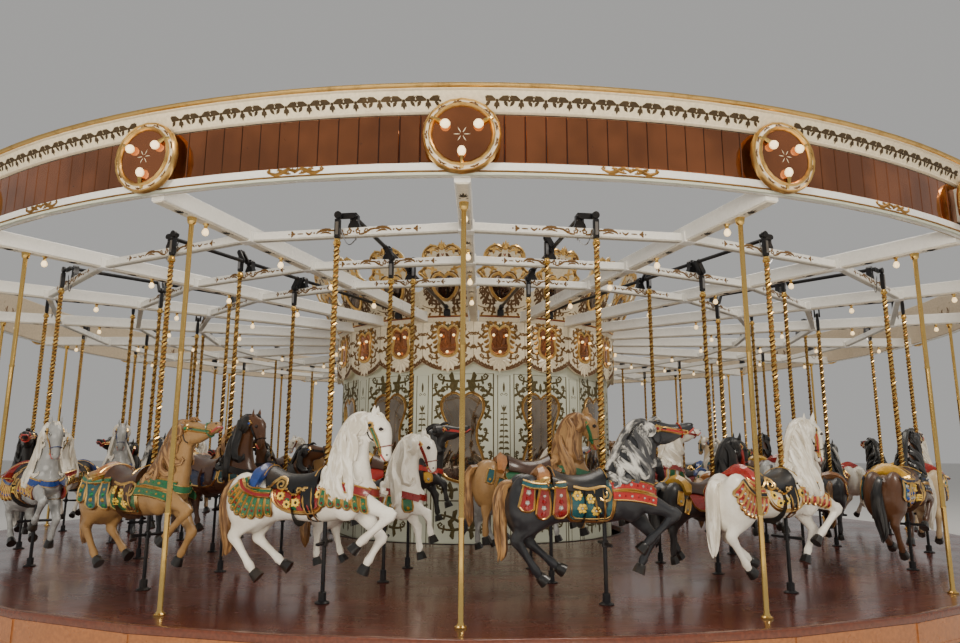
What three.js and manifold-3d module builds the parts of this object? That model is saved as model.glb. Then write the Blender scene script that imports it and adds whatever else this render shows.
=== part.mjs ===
// Fairground carousel: twenty ranks of three horses on a turning platform round a fixed mirrored drum.
// Millimetres, Z up, origin on the turning axis at ground level. Angle 0 points along -Y.
import * as THREE from "three";
import { mergeVertices } from "three/addons/utils/BufferGeometryUtils.js";
import Module from "manifold-3d";

const wasm = await Module();
wasm.setup();

// Layout round the axis
const RANKS = 20;
const PITCH = (2 * Math.PI) / RANKS;
const RING_SEGMENTS = 40;
const SECTIONS = 4;
const RANKS_PER_SECTION = RANKS / SECTIONS;
const SEAM = 0.3;

// Platform deck with its skirt
const DECK_TOP = 380;
const DECK_THICKNESS = 60;
const DECK_OUTER = 7560;
const DECK_INNER = 2440;
const SKIRT_BOTTOM = 120;
const SKIRT_THICKNESS = 40;
const POLE_HOLE_HALF = 30;
const OVERLAP = 10;

// Wheel frame of sweeps and cross-beams
const FRAME_UNDERSIDE = 3460;
const SWEEP_WIDTH = 120;
const SWEEP_DEPTH = 150;
const SWEEP_END = 7635;
const BEAM_CORNER_RADII = [6510, 5450, 4560];
const BEAM_WIDTH = 50;
const BEAM_DEPTH = 90;
const BEAM_STEP = 4;
const HUB_RADIUS = 460;
const HUB_BORE = 92;
const HUB_TOP = 3700;
const ROD_RADIUS = 20;
const ROD_CIRCLE = 7250;

// Rounding boards round the rim
const RAIL_BOTTOM = 3500;
const BAND_BOTTOM = 3590;
const CORNICE_BOTTOM = 3970;
const CORNICE_TOP = 4160;
const BOARD_INNER = 7640;
const RAIL_OUTER = 7740;
const BAND_OUTER = 7700;
const CORNICE_OUTER = 7820;
const MEDALLION_RADIUS = 285;
const MEDALLION_SIDES = 8;
const MEDALLION_HEIGHT = 3760;
const MEDALLION_BACK = 7752;
const MEDALLION_FACE = 7880;
const MEDALLION_BOX_HALF = 150;
const MEDALLION_BOX_MARGIN = 30;
const CORNICE_PROFILE = [
  [10, 0],
  [45, 85],
];

// Rotating frieze and crests round the top of the drum
const FRIEZE_FACE = 2360;
const FRIEZE_THICKNESS = 36;
const FRIEZE_BOTTOM = 2750;
const CREST_LEAN = 0.5;
const CREST_BOTTOM = 3612;
const CREST_SHOULDER = 3870;
const CREST_NECK = [3920, 4080];
const CREST_WING = 4125;
const CREST_WAIST = 4180;
const CREST_LOBE = 4380;
const CREST_LOBE_TOP = 4480;
const CREST_TOP = 4530;
const CREST_NECK_HALF = 310;
const CREST_WING_HALF = 390;
const CREST_LOBE_TOP_HALF = 180;
const CREST_FOOT_CLEARANCE = 14;

// Fixed drum housing, mast and ground frame
const HOUSING_PANELS = 12;
const HOUSING_TURN = THREE.MathUtils.degToRad(-4);
const HOUSING_FACE = 2225;
const HOUSING_WALL = 60;
const HOUSING_TOP = 2900;
const PILASTER_WIDTH = 240;
const PLINTH_HEIGHT = 140;
const PLINTH_OUTER = 2300;
const PLINTH_INNER = 2080;
const SLEEPER_WIDTH = 220;
const GROUND_BOSS_RADIUS = 480;
const MAST_RADIUS = 160;
const MAST_FOOT_RADIUS = 384;
const MAST_FOOT_HEIGHT = 60;
const MAST_FLARE_HEIGHT = 300;
const MAST_SHOULDER = 3400;
const SPIGOT_RADIUS = 90;
const MAST_TOP = 3820;

// Crankshafts and horse poles, with the outer row at mid stroke
const SHAFT_HEIGHT = 3650;
const SHAFT_RADIUS = 22;
const THROW = 125;
const POLE_STANDOFF = 90;
const POLE_HALF = 20;
const POLE_OVERRUN = 160;
const POLE_BOTTOM = 200;
const CRANK_GAP = 0.4;
const ARM_WIDTH = 44;
const ARM_THICKNESS = 26;
const BEARING_WIDTH = 60;
const SHAFT_SETBACK = 126;
const ARM_LAP = 5;

// Horses: height of the withers at mid stroke, and the size of each row against the outer one
const WITHERS_HEIGHT = 1430;
const ROWS = [
  { scale: 1.0, phase: 0 },
  { scale: 0.92, phase: (2 * Math.PI) / 3 },
  { scale: 0.84, phase: (4 * Math.PI) / 3 },
];

const beamMiddle = (row) => BEAM_CORNER_RADII[row] * Math.cos(PITCH / 2);
const poleCircle = (row) => beamMiddle(row) + POLE_STANDOFF;

const finishes = {
  cream: new THREE.MeshStandardMaterial({ color: 0xe9dfc6, roughness: 0.5, metalness: 0 }),
  white: new THREE.MeshStandardMaterial({ color: 0xf0eee6, roughness: 0.45, metalness: 0 }),
  mirror: new THREE.MeshStandardMaterial({ color: 0x6b4a38, roughness: 0.15, metalness: 0.8 }),
  deck: new THREE.MeshStandardMaterial({ color: 0x6e2f22, roughness: 0.3, metalness: 0 }),
  greyGreen: new THREE.MeshStandardMaterial({ color: 0xb9bda6, roughness: 0.5, metalness: 0 }),
  iron: new THREE.MeshStandardMaterial({ color: 0x1f1e1e, roughness: 0.55, metalness: 0.6 }),
};

// Solids

function toSolid(geometry) {
  const bare = geometry.clone();
  bare.deleteAttribute("normal");
  bare.deleteAttribute("uv");
  const merged = mergeVertices(bare, 1e-3);
  return new wasm.Manifold(
    new wasm.Mesh({
      numProp: 3,
      vertProperties: new Float32Array(merged.attributes.position.array),
      triVerts: new Uint32Array(merged.index.array),
    }),
  );
}

function toGeometry(solid) {
  const mesh = solid.getMesh();
  const geometry = new THREE.BufferGeometry();
  geometry.setAttribute("position", new THREE.BufferAttribute(mesh.vertProperties, 3));
  geometry.setIndex(new THREE.BufferAttribute(mesh.triVerts, 1));
  geometry.computeVertexNormals();
  return geometry;
}

function join(geometries) {
  return geometries.map(toSolid).reduce((whole, piece) => whole.add(piece));
}

function box(x0, x1, y0, y1, z0, z1) {
  const geometry = new THREE.BoxGeometry(x1 - x0, y1 - y0, z1 - z0);
  return geometry.translate((x0 + x1) / 2, (y0 + y1) / 2, (z0 + z1) / 2);
}

// Upright post of a few sides
function post(x, y, z0, z1, radius, sides) {
  const geometry = new THREE.CylinderGeometry(radius, radius, z1 - z0, sides);
  return geometry.rotateX(Math.PI / 2).translate(x, y, (z0 + z1) / 2);
}

// Ring or turned piece from a closed profile of [radius, height] points
function turned(profile, segments) {
  const points = profile.map(([radius, height]) => new THREE.Vector2(radius, height));
  return new THREE.LatheGeometry(points, segments).rotateX(Math.PI / 2);
}

// Flat outline of [x, y] points raised between two heights
function raised(outline, z0, z1) {
  const shape = new THREE.Shape(outline.map(([x, y]) => new THREE.Vector2(x, y)));
  const geometry = new THREE.ExtrudeGeometry(shape, { depth: z1 - z0, bevelEnabled: false });
  return geometry.translate(0, 0, z0);
}

// Upright plate of [x, z] points with its outer face at a distance from the axis along -Y
function plate(outline, face, thickness) {
  const shape = new THREE.Shape(outline.map(([x, z]) => new THREE.Vector2(x, z)));
  const geometry = new THREE.ExtrudeGeometry(shape, { depth: thickness, bevelEnabled: false });
  return geometry.rotateX(Math.PI / 2).translate(0, thickness - face, 0);
}

function around(angle, radius) {
  return [radius * Math.sin(angle), -radius * Math.cos(angle)];
}

function arc(radius, from, to, steps) {
  return Array.from({ length: steps + 1 }, (_, i) => around(from + ((to - from) * i) / steps, radius));
}

// Sector of a ring between two radii, trimmed by half a seam at both ends
function sector(outer, inner, from, to, outerSteps, innerSteps) {
  const trimOuter = SEAM / 2 / outer;
  const trimInner = SEAM / 2 / inner;
  return [
    ...arc(outer, from + trimOuter, to - trimOuter, outerSteps),
    ...arc(inner, from + trimInner, to - trimInner, innerSteps).reverse(),
  ];
}

// Body of oval sections carried along a path in the vertical plane of the horse.
// Each station is [x, z, half width, half depth], and y is the sideways place of the path.
function limb(stations, sides, y = 0, roll = 0) {
  const spans = stations.length - 1;
  const geometry = new THREE.CylinderGeometry(1, 1, 1, sides, spans, false, roll);
  const positions = geometry.attributes.position;
  for (let i = 0; i < positions.count; i += 1) {
    const s = Math.round((0.5 - positions.getY(i)) * spans);
    const [x, z, width, depth] = stations[s];
    const before = stations[Math.max(s - 1, 0)];
    const after = stations[Math.min(s + 1, spans)];
    const length = Math.hypot(after[0] - before[0], after[1] - before[1]);
    const tx = (after[0] - before[0]) / length;
    const tz = (after[1] - before[1]) / length;
    const across = positions.getX(i) * width;
    const up = positions.getZ(i) * depth;
    positions.setXYZ(i, x - tz * up, y + across, z + tx * up);
  }
  return geometry;
}

// Horses, drawn from the pole at the withers: x forward, z up.
// The body is one run of sections from the tip of the tail over the croup and up the neck to the muzzle.

const HINDQUARTERS = [
  [-765, -895, 34, 34],
  [-815, -420, 62, 62],
  [-775, -140, 48, 50],
  [-620, -185, 150, 125],
];
const BARREL = [
  [-350, -225, 158, 135],
  [-60, -240, 165, 175],
];
const FOREHANDS = {
  proud: [
    [185, -160, 140, 225],
    [190, 190, 84, 165],
    [285, 420, 62, 100],
    [425, 315, 66, 105],
    [485, 95, 40, 42],
  ],
  reaching: [
    [215, -165, 140, 220],
    [300, 120, 84, 150],
    [430, 345, 62, 95],
    [560, 330, 62, 88],
    [795, 385, 38, 38],
  ],
};
const SQUARE_FULLNESS = 1.22;
const INNER_LEAVES_OUT = [1, 4, 7];
const LEG_SPREAD = 75;
const BENT_LEGS = [
  { side: -1, stations: [[-560, -250, 62, 105], [-755, -535, 46, 50], [-570, -815, 42, 44]] },
  { side: 1, stations: [[-500, -270, 62, 105], [-600, -560, 46, 50], [-370, -760, 42, 44]] },
  { side: -1, stations: [[200, -190, 55, 85], [580, -340, 44, 46], [300, -590, 40, 42]] },
  { side: 1, stations: [[180, -200, 55, 85], [445, -545, 44, 46], [325, -765, 40, 42]] },
];
const STRAIGHT_LEGS = [
  { side: -1, stations: [[-540, -240, 58, 95], [-690, -800, 40, 42]] },
  { side: 1, stations: [[-500, -260, 58, 95], [-480, -790, 40, 42]] },
  { side: -1, stations: [[190, -190, 50, 80], [530, -560, 40, 42]] },
  { side: 1, stations: [[180, -200, 50, 80], [360, -740, 40, 42]] },
];

// The outer horses have bent legs, and those behind them have straight ones and fewer sections
function horse(pose, isOuter) {
  const all = [...HINDQUARTERS, ...BARREL, ...FOREHANDS[pose]];
  const body = isOuter ? all : all.filter((_, i) => !INNER_LEAVES_OUT.includes(i));
  const sides = isOuter ? 5 : 4;
  const fullness = isOuter ? 1 : SQUARE_FULLNESS;
  const sections = body.map(([x, z, width, depth]) => [x, z, width * fullness, depth * fullness]);
  const pieces = [limb(sections, sides, 0, Math.PI / sides)];
  for (const { side, stations } of isOuter ? BENT_LEGS : STRAIGHT_LEGS) {
    pieces.push(limb(stations, 3, side * LEG_SPREAD));
  }
  return join(pieces);
}

const horses = {};
for (const pose of ["proud", "reaching"]) {
  horses[pose] = { outer: horse(pose, true), inner: horse(pose, false) };
}

// Horse of one row set on its square-sided pole, which runs from its foot up past the crank
function mounted(pose, row, side, poleFoot) {
  const { scale, phase } = ROWS[row];
  const x = side * THROW * Math.cos(phase);
  const lift = side * THROW * Math.sin(phase);
  const y = -poleCircle(row);
  const top = SHAFT_HEIGHT + lift + (row === 0 ? POLE_OVERRUN : ARM_WIDTH / 2);
  const pole = box(x - POLE_HALF, x + POLE_HALF, y - POLE_HALF, y + POLE_HALF, poleFoot, top);
  const figure = row === 0 ? horses[pose].outer : horses[pose].inner;
  return figure.scale([scale, scale, scale]).translate([x, y, WITHERS_HEIGHT + lift]).add(toSolid(pole));
}

// Crankshaft of a rank on its three bearings, with an arm to each pole
function crankshaft(side) {
  const inner = FRIEZE_FACE + SHAFT_SETBACK;
  const outer = poleCircle(0) - POLE_HALF - CRANK_GAP;
  const low = SHAFT_HEIGHT - SHAFT_RADIUS;
  const high = SHAFT_HEIGHT + SHAFT_RADIUS;
  const foot = FRAME_UNDERSIDE + BEAM_DEPTH + SEAM;
  const outline = [
    [outer, low],
    [outer, high],
    [inner, high],
    [inner, low],
  ];
  for (const row of [2, 1, 0]) {
    const near = beamMiddle(row) - BEARING_WIDTH / 2;
    const far = beamMiddle(row) + BEARING_WIDTH / 2;
    outline.push([near, low], [near, foot], [far, foot], [far, low]);
  }
  const shape = new THREE.Shape(outline.map(([radius, z]) => new THREE.Vector2(radius, z)));
  const shaft = new THREE.ExtrudeGeometry(shape, { depth: ARM_WIDTH, bevelEnabled: false });
  shaft.translate(0, 0, -ARM_WIDTH / 2).rotateX(Math.PI / 2).rotateZ(-Math.PI / 2);
  const pieces = [shaft];
  for (const [row, { phase }] of ROWS.entries()) {
    const face = poleCircle(row) - POLE_HALF;
    const gap = row === 0 ? CRANK_GAP : -ARM_LAP;
    const half = ARM_WIDTH / 2;
    const arm = box(0, THROW + half, gap - face, gap - face + ARM_THICKNESS, -half, half);
    const turn = side > 0 ? -phase : Math.PI - phase;
    pieces.push(arm.rotateY(turn).translate(0, 0, SHAFT_HEIGHT));
  }
  return join(pieces);
}

// Ground frame, mast and drum housing

function groundFrame() {
  const pieces = [post(0, 0, 0, PLINTH_HEIGHT, GROUND_BOSS_RADIUS, 6), plinth()];
  const reach = (PLINTH_INNER + PLINTH_OUTER) / 2;
  for (let i = 0; i < 3; i += 1) {
    const sleeper = box(-reach, reach, -SLEEPER_WIDTH / 2, SLEEPER_WIDTH / 2, 0, PLINTH_HEIGHT);
    pieces.push(sleeper.rotateZ((i * Math.PI) / 3));
  }
  return join(pieces);
}

function mast() {
  const foot = PLINTH_HEIGHT + SEAM;
  const shoulder = MAST_SHOULDER - SEAM;
  return turned(
    [
      [0, foot],
      [MAST_FOOT_RADIUS, foot],
      [MAST_FOOT_RADIUS, foot + MAST_FOOT_HEIGHT],
      [MAST_RADIUS, foot + MAST_FLARE_HEIGHT],
      [MAST_RADIUS, shoulder],
      [SPIGOT_RADIUS, shoulder],
      [SPIGOT_RADIUS, MAST_TOP],
      [0, MAST_TOP],
    ],
    12,
  );
}

function plinth() {
  return turned(
    [
      [PLINTH_INNER, 0],
      [PLINTH_OUTER, 0],
      [PLINTH_OUTER, PLINTH_HEIGHT],
      [PLINTH_INNER, PLINTH_HEIGHT],
      [PLINTH_INNER, 0],
    ],
    HOUSING_PANELS,
  );
}

// Three mirror panels of the drum with the narrow pilasters between them
function housingSection(section) {
  const step = (2 * Math.PI) / HOUSING_PANELS;
  const pilasterTurn = Math.atan(PILASTER_WIDTH / 2 / HOUSING_FACE);
  const cornerRadius = HOUSING_FACE / Math.cos(step / 2 - pilasterTurn);
  const outline = (shrink) => {
    const points = [];
    for (let i = 0; i < HOUSING_PANELS / SECTIONS; i += 1) {
      const middle = HOUSING_TURN + (section * (HOUSING_PANELS / SECTIONS) + i) * step;
      for (const side of [-1, 1]) {
        points.push(around(middle + side * (step / 2 - pilasterTurn), cornerRadius - shrink));
      }
    }
    const start = HOUSING_TURN + (section * (HOUSING_PANELS / SECTIONS) - 0.5) * step;
    const end = start + (2 * Math.PI) / SECTIONS;
    const seamRadius = cornerRadius * Math.cos(pilasterTurn) - shrink;
    const trim = SEAM / 2 / seamRadius;
    return [around(start + trim, seamRadius), ...points, around(end - trim, seamRadius)];
  };
  const ring = [...outline(0), ...outline(HOUSING_WALL).reverse()];
  return raised(ring, PLINTH_HEIGHT + SEAM, HOUSING_TOP);
}

// Platform

function hub() {
  return turned(
    [
      [HUB_BORE, MAST_SHOULDER],
      [HUB_RADIUS, MAST_SHOULDER],
      [HUB_RADIUS, HUB_TOP],
      [HUB_BORE, HUB_TOP],
      [HUB_BORE, MAST_SHOULDER],
    ],
    RANKS,
  );
}

// Five sweeps with their cross-beams and the hanger rods that carry the deck's rim
function frameSection(section) {
  const pieces = [];
  for (let i = 0; i < RANKS_PER_SECTION; i += 1) {
    const turn = (section * RANKS_PER_SECTION + i) * PITCH;
    const top = FRAME_UNDERSIDE + SWEEP_DEPTH;
    const half = SWEEP_WIDTH / 2;
    const sweep = box(-half, half, -SWEEP_END, -(HUB_RADIUS + SEAM), FRAME_UNDERSIDE, top);
    const rod = post(0, -ROD_CIRCLE, DECK_TOP + SEAM, FRAME_UNDERSIDE + ROD_RADIUS, ROD_RADIUS, 4);
    pieces.push(sweep.rotateZ(turn), rod.rotateZ(turn));
    for (const corner of BEAM_CORNER_RADII) {
      const middle = corner * Math.cos(PITCH / 2);
      const toCorner = corner * Math.sin(PITCH / 2);
      const sideGap = half / Math.cos(PITCH / 2) + BEAM_WIDTH * Math.tan(PITCH / 2);
      const isLast = i === RANKS_PER_SECTION - 1;
      const start = -toCorner;
      const end = isLast ? toCorner - sideGap - SEAM : toCorner;
      const y = -middle;
      const low = FRAME_UNDERSIDE + BEAM_STEP;
      const high = FRAME_UNDERSIDE + BEAM_DEPTH;
      const beam = box(start, end, y - BEAM_WIDTH / 2, y + BEAM_WIDTH / 2, low, high);
      pieces.push(beam.rotateZ(turn + PITCH / 2));
    }
  }
  return join(pieces);
}

// Quarter of the deck with its skirt, and the holes in which the outer poles run
function deckSection(section) {
  const from = section * RANKS_PER_SECTION * PITCH;
  const to = from + RANKS_PER_SECTION * PITCH;
  const steps = RING_SEGMENTS / SECTIONS;
  const bottom = DECK_TOP - DECK_THICKNESS;
  const boards = sector(DECK_OUTER, DECK_INNER, from, to, steps, RANKS_PER_SECTION);
  const floor = raised(boards, bottom, DECK_TOP);
  const skirtRing = sector(DECK_OUTER, DECK_OUTER - SKIRT_THICKNESS, from, to, steps, steps);
  const skirt = raised(skirtRing, SKIRT_BOTTOM, bottom + OVERLAP);
  let solid = join([floor, skirt]);
  for (let i = 0; i < RANKS_PER_SECTION; i += 1) {
    const rank = section * RANKS_PER_SECTION + i;
    const side = rank % 2 === 0 ? 1 : -1;
    const x = side * THROW;
    const y = -poleCircle(0);
    const half = POLE_HOLE_HALF;
    const hole = box(x - half, x + half, y - half, y + half, bottom - OVERLAP, DECK_TOP + OVERLAP);
    solid = solid.subtract(toSolid(hole.rotateZ((rank + 0.5) * PITCH)));
  }
  return solid;
}

function boardRing(profile) {
  return turned([...profile, profile[0]], RING_SEGMENTS);
}

function plainBoard(outer, bottom, top) {
  return boardRing([
    [BOARD_INNER, bottom],
    [outer, bottom],
    [outer, top],
    [BOARD_INNER, top],
  ]);
}

function lowerRail() {
  return plainBoard(RAIL_OUTER, RAIL_BOTTOM, BAND_BOTTOM - SEAM);
}

function cornice() {
  return boardRing([
    [BOARD_INNER, CORNICE_BOTTOM],
    ...CORNICE_PROFILE.map(([out, rise]) => [BAND_OUTER + out, CORNICE_BOTTOM + rise]),
    [CORNICE_OUTER, CORNICE_TOP],
    [BOARD_INNER, CORNICE_TOP],
  ]);
}

// Mirror band with a round medallion on its box at each sweep's end
function mirrorBand() {
  const top = CORNICE_BOTTOM - SEAM;
  const pieces = [plainBoard(BAND_OUTER, BAND_BOTTOM, top)];
  for (let i = 0; i < RANKS; i += 1) {
    const turn = i * PITCH;
    const depth = MEDALLION_FACE - MEDALLION_BACK;
    const disc = new THREE.CylinderGeometry(MEDALLION_RADIUS, MEDALLION_RADIUS, depth, MEDALLION_SIDES);
    disc.translate(0, -(MEDALLION_FACE + MEDALLION_BACK) / 2, MEDALLION_HEIGHT);
    const half = MEDALLION_BOX_HALF;
    const low = BAND_BOTTOM + MEDALLION_BOX_MARGIN;
    const high = top - MEDALLION_BOX_MARGIN;
    const drum = box(-half, half, -(MEDALLION_BACK + OVERLAP), -(BAND_OUTER - 3 * OVERLAP), low, high);
    pieces.push(disc.rotateZ(turn), drum.rotateZ(turn));
  }
  return join(pieces);
}

// Frieze of flat painted panels under the sweeps
function friezeRing() {
  const corner = FRIEZE_FACE / Math.cos(PITCH / 2);
  const inner = (FRIEZE_FACE - FRIEZE_THICKNESS) / Math.cos(PITCH / 2);
  const top = FRAME_UNDERSIDE - SEAM;
  const profile = [
    [inner, FRIEZE_BOTTOM],
    [corner, FRIEZE_BOTTOM],
    [corner, top],
    [inner, top],
  ];
  return turned([...profile, profile[0]], RANKS);
}

// Radius of the crests' outer face, which leans outwards from the top of the frieze
const crestFace = (z) => FRIEZE_FACE + CREST_LEAN * (z - FRAME_UNDERSIDE);

// Ring of arched crests, with their feet between the sweeps and their shoulders meeting at the corners
function crestRing() {
  const corner = (z) => crestFace(z) * Math.tan(PITCH / 2);
  const foot = corner(FRAME_UNDERSIDE) - SWEEP_WIDTH / 2 - CREST_FOOT_CLEARANCE;
  const right = [
    [foot, FRAME_UNDERSIDE],
    [foot, CREST_BOTTOM],
    [corner(CREST_BOTTOM), CREST_BOTTOM],
    [corner(CREST_SHOULDER), CREST_SHOULDER],
    [CREST_NECK_HALF, CREST_NECK[0]],
    [CREST_NECK_HALF, CREST_NECK[1]],
    [CREST_WING_HALF, CREST_WING],
    [CREST_NECK_HALF, CREST_WAIST],
    [CREST_NECK_HALF, CREST_LOBE],
    [CREST_LOBE_TOP_HALF, CREST_LOBE_TOP],
  ];
  const left = right.map(([x, z]) => [-x, z]).reverse();
  const board = plate([...right, [0, CREST_TOP], ...left], FRIEZE_FACE, FRIEZE_THICKNESS);
  const lean = new THREE.Matrix4().makeShear(0, 0, 0, 0, 0, -CREST_LEAN);
  board.translate(0, 0, -FRAME_UNDERSIDE).applyMatrix4(lean).translate(0, 0, FRAME_UNDERSIDE);
  const pieces = [];
  for (let i = 0; i < RANKS; i += 1) {
    pieces.push(board.clone().rotateZ((i + 0.5) * PITCH));
  }
  return join(pieces);
}

// Assembly

const carousel = new THREE.Group();

function add(name, shape, material, turn = 0) {
  const geometry = shape instanceof THREE.BufferGeometry ? shape : toGeometry(shape);
  const mesh = new THREE.Mesh(geometry, material);
  mesh.name = name;
  mesh.rotation.z = turn;
  carousel.add(mesh);
}

add("ground_frame", groundFrame(), finishes.iron);
add("mast", mast(), finishes.iron);
add("hub", hub(), finishes.iron);
add("lower_rail", lowerRail(), finishes.white);
add("mirror_band", mirrorBand(), finishes.mirror);
add("cornice", cornice(), finishes.cream);
add("frieze", friezeRing(), finishes.cream);
add("crests", crestRing(), finishes.cream);

for (let section = 0; section < SECTIONS; section += 1) {
  add(`housing_section_${section + 1}`, housingSection(section), finishes.greyGreen);
  add(`wheel_frame_${section + 1}`, frameSection(section), finishes.white);
  add(`deck_section_${section + 1}`, deckSection(section), finishes.deck);
}

const shafts = { 1: crankshaft(1), [-1]: crankshaft(-1) };
for (let rank = 0; rank < RANKS; rank += 1) {
  const side = rank % 2 === 0 ? 1 : -1;
  const pose = rank % 2 === 0 ? "reaching" : "proud";
  const label = String(rank + 1).padStart(2, "0");
  const turn = (rank + 0.5) * PITCH;
  const middle = mounted("proud", 1, side, DECK_TOP + SEAM);
  const inner = mounted("reaching", 2, side, DECK_TOP + SEAM);
  add(`outer_horse_${label}`, mounted(pose, 0, side, POLE_BOTTOM), finishes.white, turn);
  add(`crank_rank_${label}`, shafts[side].add(middle).add(inner), finishes.cream, turn);
}

export default carousel;
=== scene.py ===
"""Looks of a fairground carousel: three rows of carved horses on brass poles round a mirrored drum.

Metres, Z up, origin on the turning axis at ground level. Angle 0 points along -Y, and a bay's own
frame has x along the ring, -y outwards and z up, before it is turned to its place.
"""

import logging
import math
from dataclasses import dataclass, field
from enum import Enum
from typing import Callable, Iterable, Optional, Sequence, Union

import bpy
import numpy as np
from mathutils import Matrix, Vector
from mathutils.bvhtree import BVHTree


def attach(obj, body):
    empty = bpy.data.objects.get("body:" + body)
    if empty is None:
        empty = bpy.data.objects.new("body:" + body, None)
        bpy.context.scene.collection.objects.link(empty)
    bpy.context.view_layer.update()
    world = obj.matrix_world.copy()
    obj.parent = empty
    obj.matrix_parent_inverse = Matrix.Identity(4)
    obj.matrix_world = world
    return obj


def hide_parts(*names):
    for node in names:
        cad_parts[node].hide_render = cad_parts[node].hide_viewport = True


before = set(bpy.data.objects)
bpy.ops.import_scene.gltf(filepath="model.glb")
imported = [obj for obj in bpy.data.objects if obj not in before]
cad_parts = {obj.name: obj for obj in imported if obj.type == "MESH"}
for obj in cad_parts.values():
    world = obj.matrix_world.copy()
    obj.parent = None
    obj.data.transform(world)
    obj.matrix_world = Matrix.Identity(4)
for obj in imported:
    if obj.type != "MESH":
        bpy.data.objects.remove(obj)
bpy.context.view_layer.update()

Array = np.ndarray
Triple = tuple[float, float, float]
Colour = Triple
Pair = tuple[float, float]
Points = Sequence[Sequence[float]]
Size = Union[float, Array]
Socket = bpy.types.NodeSocket

TAU = 2 * math.pi
RANKS = 20
PITCH = TAU / RANKS
SHARP_ANGLE = math.radians(38)
log = logging.getLogger("carousel")


@dataclass
class Shell:
    """Faces of one finish: points, all the faces' corners in a row, and each face's corner count."""

    points: Array
    corners: Array
    counts: Array
    uv: Array

    def _face_steps(self) -> tuple[Array, Array, Array]:
        """Each corner's face's first corner, face size and step in the face.

        Returns:
            Three arrays as long as the corners.
        """
        starts = np.repeat(np.cumsum(self.counts) - self.counts, self.counts)
        sizes = np.repeat(self.counts, self.counts)
        return starts, sizes, np.arange(len(self.corners)) - starts

    def flipped(self) -> "Shell":
        """The same faces, turned inside out."""
        starts, sizes, steps = self._face_steps()
        order = starts + sizes - 1 - steps
        return Shell(self.points, self.corners[order], self.counts, self.uv[order])

    def volume(self) -> float:
        """Signed volume: the sum of the tetrahedra from the origin to each face's fan of triangles."""
        starts, sizes, steps = self._face_steps()
        inner = (steps >= 1) & (steps <= sizes - 2)
        here = np.nonzero(inner)[0]
        a = self.points[self.corners[starts[inner]]]
        b = self.points[self.corners[here]]
        c = self.points[self.corners[here + 1]]
        return float(np.einsum("ij,ij->i", a, np.cross(b, c)).sum() / 6)

    def outward(self) -> "Shell":
        """The shell with its faces pointing out, whichever way it was made."""
        centred = Shell(self.points - self.points.mean(0), self.corners, self.counts, self.uv)
        return self if centred.volume() >= 0 else self.flipped()

    def mapped(self, change: Callable[[Array], Array]) -> "Shell":
        """The shell with its points changed by a function of all of them."""
        return Shell(change(self.points), self.corners, self.counts, self.uv)

    def moved(self, x: float = 0.0, y: float = 0.0, z: float = 0.0) -> "Shell":
        """The shell set over by an offset."""
        return self.mapped(lambda p: p + np.array([x, y, z]))

    def scaled(self, x: float, y: float, z: float) -> "Shell":
        """The shell scaled from the origin, with its faces still pointing out."""
        changed = self.mapped(lambda p: p * np.array([x, y, z]))
        return changed.flipped() if x * y * z < 0 else changed

    def turned(self, angle: float) -> "Shell":
        """The shell turned about the upright axis through the origin.

        Args:
            angle: Angle, anticlockwise from above.

        Returns:
            The turned shell.
        """
        c, s = math.cos(angle), math.sin(angle)
        matrix = np.array([[c, s, 0.0], [-s, c, 0.0], [0.0, 0.0, 1.0]])
        return self.mapped(lambda p: p @ matrix)

    def tilted(self, axis: int, angle: float) -> "Shell":
        """The shell turned about x (0), y (1) or z (2) through the origin.

        Args:
            axis: Number of the axis.
            angle: Angle, by the right-hand rule.

        Returns:
            The turned shell.
        """
        c, s = math.cos(angle), math.sin(angle)
        matrix = np.eye(3)
        a, b = [(1, 2), (2, 0), (0, 1)][axis]
        matrix[a, a] = matrix[b, b] = c
        matrix[a, b], matrix[b, a] = -s, s
        return self.mapped(lambda p: p @ matrix.T)

    def ringed(self, angles: Iterable[float]) -> "Shell":
        """Copies of the shell turned to each of the angles."""
        return join([self.turned(angle) for angle in angles])

    def on_ring(self, face: Callable[[Array], Array]) -> "Shell":
        """A flat board's shell bent round the axis.

        Args:
            face: Radius of the board's face at each height. x becomes a length along that ring, and -y
                stands out from it.

        Returns:
            The bent shell, centred on angle 0.
        """

        def bend(p: Array) -> Array:
            """Points set out along the arc.

            Args:
                p: Points as rows of (x, y, z).

            Returns:
                The points on the arc.
            """
            base = face(p[:, 2])
            angle = p[:, 0] / base
            radius = base - p[:, 1]
            return np.stack([radius * np.sin(angle), -radius * np.cos(angle), p[:, 2]], axis=1)

        return self.mapped(bend)


def mm(*rows: Sequence[float]) -> Points:
    """Rows of millimetres as rows of metres."""
    return [[number / 1000 for number in row] for row in rows]


def join(shells: Sequence[Shell]) -> Shell:
    """One shell from several, which keep their own points."""
    offsets = np.cumsum([0] + [len(s.points) for s in shells[:-1]])
    return Shell(
        np.concatenate([s.points for s in shells]),
        np.concatenate([s.corners + offset for s, offset in zip(shells, offsets)]),
        np.concatenate([s.counts for s in shells]),
        np.concatenate([s.uv for s in shells]),
    )


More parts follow.
